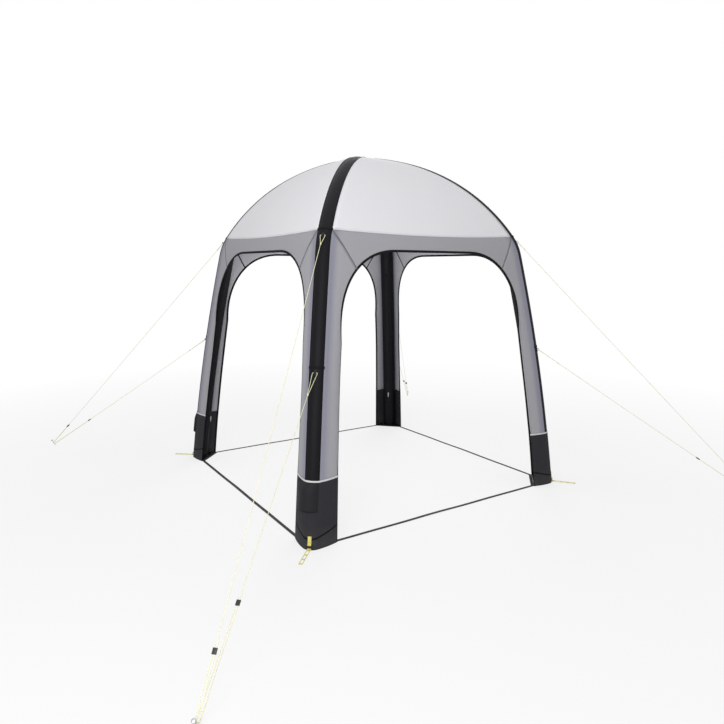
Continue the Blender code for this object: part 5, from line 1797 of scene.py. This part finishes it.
class SHELTER_OT_valves(bpy.types.Operator):
    """Makes the valves, their caps and the flaps over them"""

    bl_idname = "shelter.valves"
    bl_label = "Valves and flaps"

    def execute(self, context):
        legs = {leg: LEGS[leg] for leg in VALVE_LEGS}
        flat = BEAM_RADIUS * math.cos(math.pi / 16) + CLEARANCE
        top = VALVE_FLANGE + VALVE_NECK
        edge = 0.001
        small = 0.0006
        body = lathe("valve", [
            (0.0, top), (VALVE_RADIUS - edge, top), (VALVE_RADIUS, top - edge),
            (VALVE_RADIUS, VALVE_FLANGE + edge), (VALVE_RADIUS + edge, VALVE_FLANGE),
            (VALVE_FLANGE_RADIUS - small, VALVE_FLANGE), (VALVE_FLANGE_RADIUS, VALVE_FLANGE - small),
            (VALVE_FLANGE_RADIUS, 0.0), (0.0, 0.0),
        ], 48)
        body.transform(valve_matrix(flat))
        on_each("valve", legs, body, "Black plastic", "valve_body_{}")
        outline = [(0.0, 1.0), (0.86, 1.0), (0.96, 0.9), (1.0, 0.75), (1.0, 0.1), (0.97, 0.0), (0.0, 0.0)]
        outline = np.array(outline) * [CAP_RADIUS, CAP_HEIGHT]
        cap = lathe("cap", outline, 96, ribs=24, rib_depth=0.0006)
        grip = block("grip", (CAP_RADIUS * 1.5, CAP_GRIP, CAP_GRIP), (0, 0, CAP_HEIGHT), 0.0009, 3)
        cap = joined("cap", [cap, grip])
        cap.transform(valve_matrix(flat + top + CLEARANCE))
        on_each("cap", legs, cap, "Black plastic", "valve_cap_{}", "cap_{}")
        self.flaps(legs)
        return {"FINISHED"}

    def flaps(self, legs):
        across = np.linspace(1.0, 0.0, 41)[None, :]
        down = np.linspace(0.0, 1.0, 31)[:, None]
        points = flap_point(across, down)
        mesh = grid("flap", points, chart((1 - across) * FLAP_CLOTH_WIDTH, FLAP_LENGTH * down[:, 0]))
        area = surface_area(mesh)
        mesh = thick("flap", mesh, BOOT_CLOTH)
        top = BOOT_HEIGHT - FLAP_DROP
        bend = [(0.0, 0.0, top - FLAP_SEWN), (0.0, 0.0, top - FLAP_BEND)]
        made = on_each("flap", legs, mesh, "Flap cloth", "valve_flap_{}", "flap_{}", bend=bend)
        rim = np.concatenate([points[:, 0], points[-1, 1:], points[-2::-1, -1]])
        binding = sweep("flap_edge", rim + [BOOT_CLOTH / 2, 0.0, 0.0], round_section(FLAP_EDGE_RADIUS, 8))
        edges = on_each("flap_edge", legs, binding, "Binding tape", body="flap_{}", bend=bend)
        width = line_length(points[15]) * 1.02
        for leg, flap in made.items():
            declare_cloth(width, FLAP_LENGTH * 1.1, area)
        row = flap_point(across[0], FLAP_SEWN / FLAP_LENGTH) + [0.0035, 0.0, 0.0]
        stitches("flap_stitches", [row], legs)


def zip_point(height, sideways, lift):
    """Points on the inner side of a leg's beam."""
    angle = outer_angle(height)
    reach, level = arch(angle)
    turn = sideways / BEAM_RADIUS
    out = -(BEAM_RADIUS + lift) * np.cos(turn) - BEAM_RADIUS
    x, z = reach + out * np.sin(angle), level + out * np.cos(angle)
    return np.stack(np.broadcast_arrays(x, -(BEAM_RADIUS + lift) * np.sin(turn), z), -1)


class SHELTER_OT_zips(bpy.types.Operator):
    """Makes the zips on the inner side of the legs, with their sliders"""

    bl_idname = "shelter.zips"
    bl_label = "Zips"

    def execute(self, context):
        heights = spread(ZIP_TOP, ZIP_BOTTOM, 0.03)
        across = np.linspace(-1.0, 1.0, 7) * ZIP_WIDTH / 2
        tape = grid("zip_tape", zip_point(heights[:, None], across, -0.0001), chart(across, heights))
        on_each("zip_tape", LEGS, thick("zip_tape", tape, ZIP_TAPE), "Binding tape")
        line = zip_point(spread(ZIP_TOP - 0.01, ZIP_BOTTOM + 0.01, 0.02), 0.0, ZIP_TAPE + SEWN_ON)
        for leg, azimuth in LEGS.items():
            side = tuple(turned((0.0, 1.0, 0.0), azimuth).tolist())
            values = {"Pitch": TOOTH_PITCH, "Side": side, "Material": look("Black plastic")}
            teeth = grown("zip_teeth", [turned(line, azimuth)], "Zip teeth", values)
            piece("zip_teeth_" + leg, teeth, "Black plastic")
        self.sliders()
        rows = [zip_point(heights, side, ZIP_TAPE + SEWN_ON) for side in ZIP_STITCHES]
        stitches("zip_stitches", rows, LEGS)
        return {"FINISHED"}

    def sliders(self):
        body = block("slider", (SLIDER_THICKNESS, SLIDER_WIDTH, SLIDER_LENGTH), bevel=0.0016, segments=3)
        place = (SLIDER_THICKNESS / 2 + PULL_THICKNESS / 4, 0.0, -PULL_LENGTH * 0.55)
        pull = block("pull", (PULL_THICKNESS, PULL_WIDTH, PULL_LENGTH), place, 0.0009, 3)
        low = (place[0], 0.0, place[2] - PULL_LENGTH * 0.3)
        hole = block("hole", (0.02, PULL_WIDTH * 0.45, 0.007), low, 0)
        mesh = joined("slider", [body, bored("pull", pull, [hole])])
        lift = ZIP_TAPE + CLEARANCE + SLIDER_THICKNESS / 2
        low = Vector(zip_point(SLIDER_HEIGHT, 0.0, lift))
        way = Vector(zip_point(SLIDER_HEIGHT + SLIDER_LENGTH, 0.0, lift)) - low
        lean = Matrix.Rotation(math.atan2(way.x, way.z), 4, "Y") @ Matrix.Rotation(math.pi, 4, "Z")
        mesh.transform(Matrix.Translation(low) @ lean)
        on_each("slider", LEGS, mesh, "Zip pull", "zip_slider_{}", "slider_{}")


PIECES = (
    SHELTER_OT_stage, SHELTER_OT_guy_lines, SHELTER_OT_air_beams, SHELTER_OT_bands, SHELTER_OT_roof,
    SHELTER_OT_sides, SHELTER_OT_boots, SHELTER_OT_foot_straps, SHELTER_OT_valves, SHELTER_OT_zips,
)


class SHELTER_PT_pieces(bpy.types.Panel):
    """Lists the shelter's settings and the operators that make its pieces"""

    bl_label = "Inflatable shelter"
    bl_idname = "SHELTER_PT_pieces"
    bl_space_type = "VIEW_3D"
    bl_region_type = "UI"
    bl_category = "Shelter"

    def draw(self, context):
        for operator in PIECES:
            self.layout.operator(operator.bl_idname)
        for name in ShelterSettings.__annotations__:
            self.layout.prop(context.scene.shelter, name)


CLASSES = (ShelterSettings, *PIECES, SHELTER_PT_pieces)


def register():
    for each in CLASSES:
        bpy.utils.register_class(each)
    bpy.types.Scene.shelter = bpy.props.PointerProperty(type=ShelterSettings)


def unregister():
    del bpy.types.Scene.shelter
    for each in reversed(CLASSES):
        bpy.utils.unregister_class(each)


def main():
    register()
    bpy.ops.shelter.stage()
    bpy.ops.shelter.guy_lines()
    bpy.ops.shelter.air_beams()
    bpy.ops.shelter.bands()
    bpy.ops.shelter.roof()
    bpy.ops.shelter.sides()
    bpy.ops.shelter.boots()
    bpy.ops.shelter.foot_straps()
    bpy.ops.shelter.valves()
    bpy.ops.shelter.zips()
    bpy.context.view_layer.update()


if __name__ == "__main__":
    main()
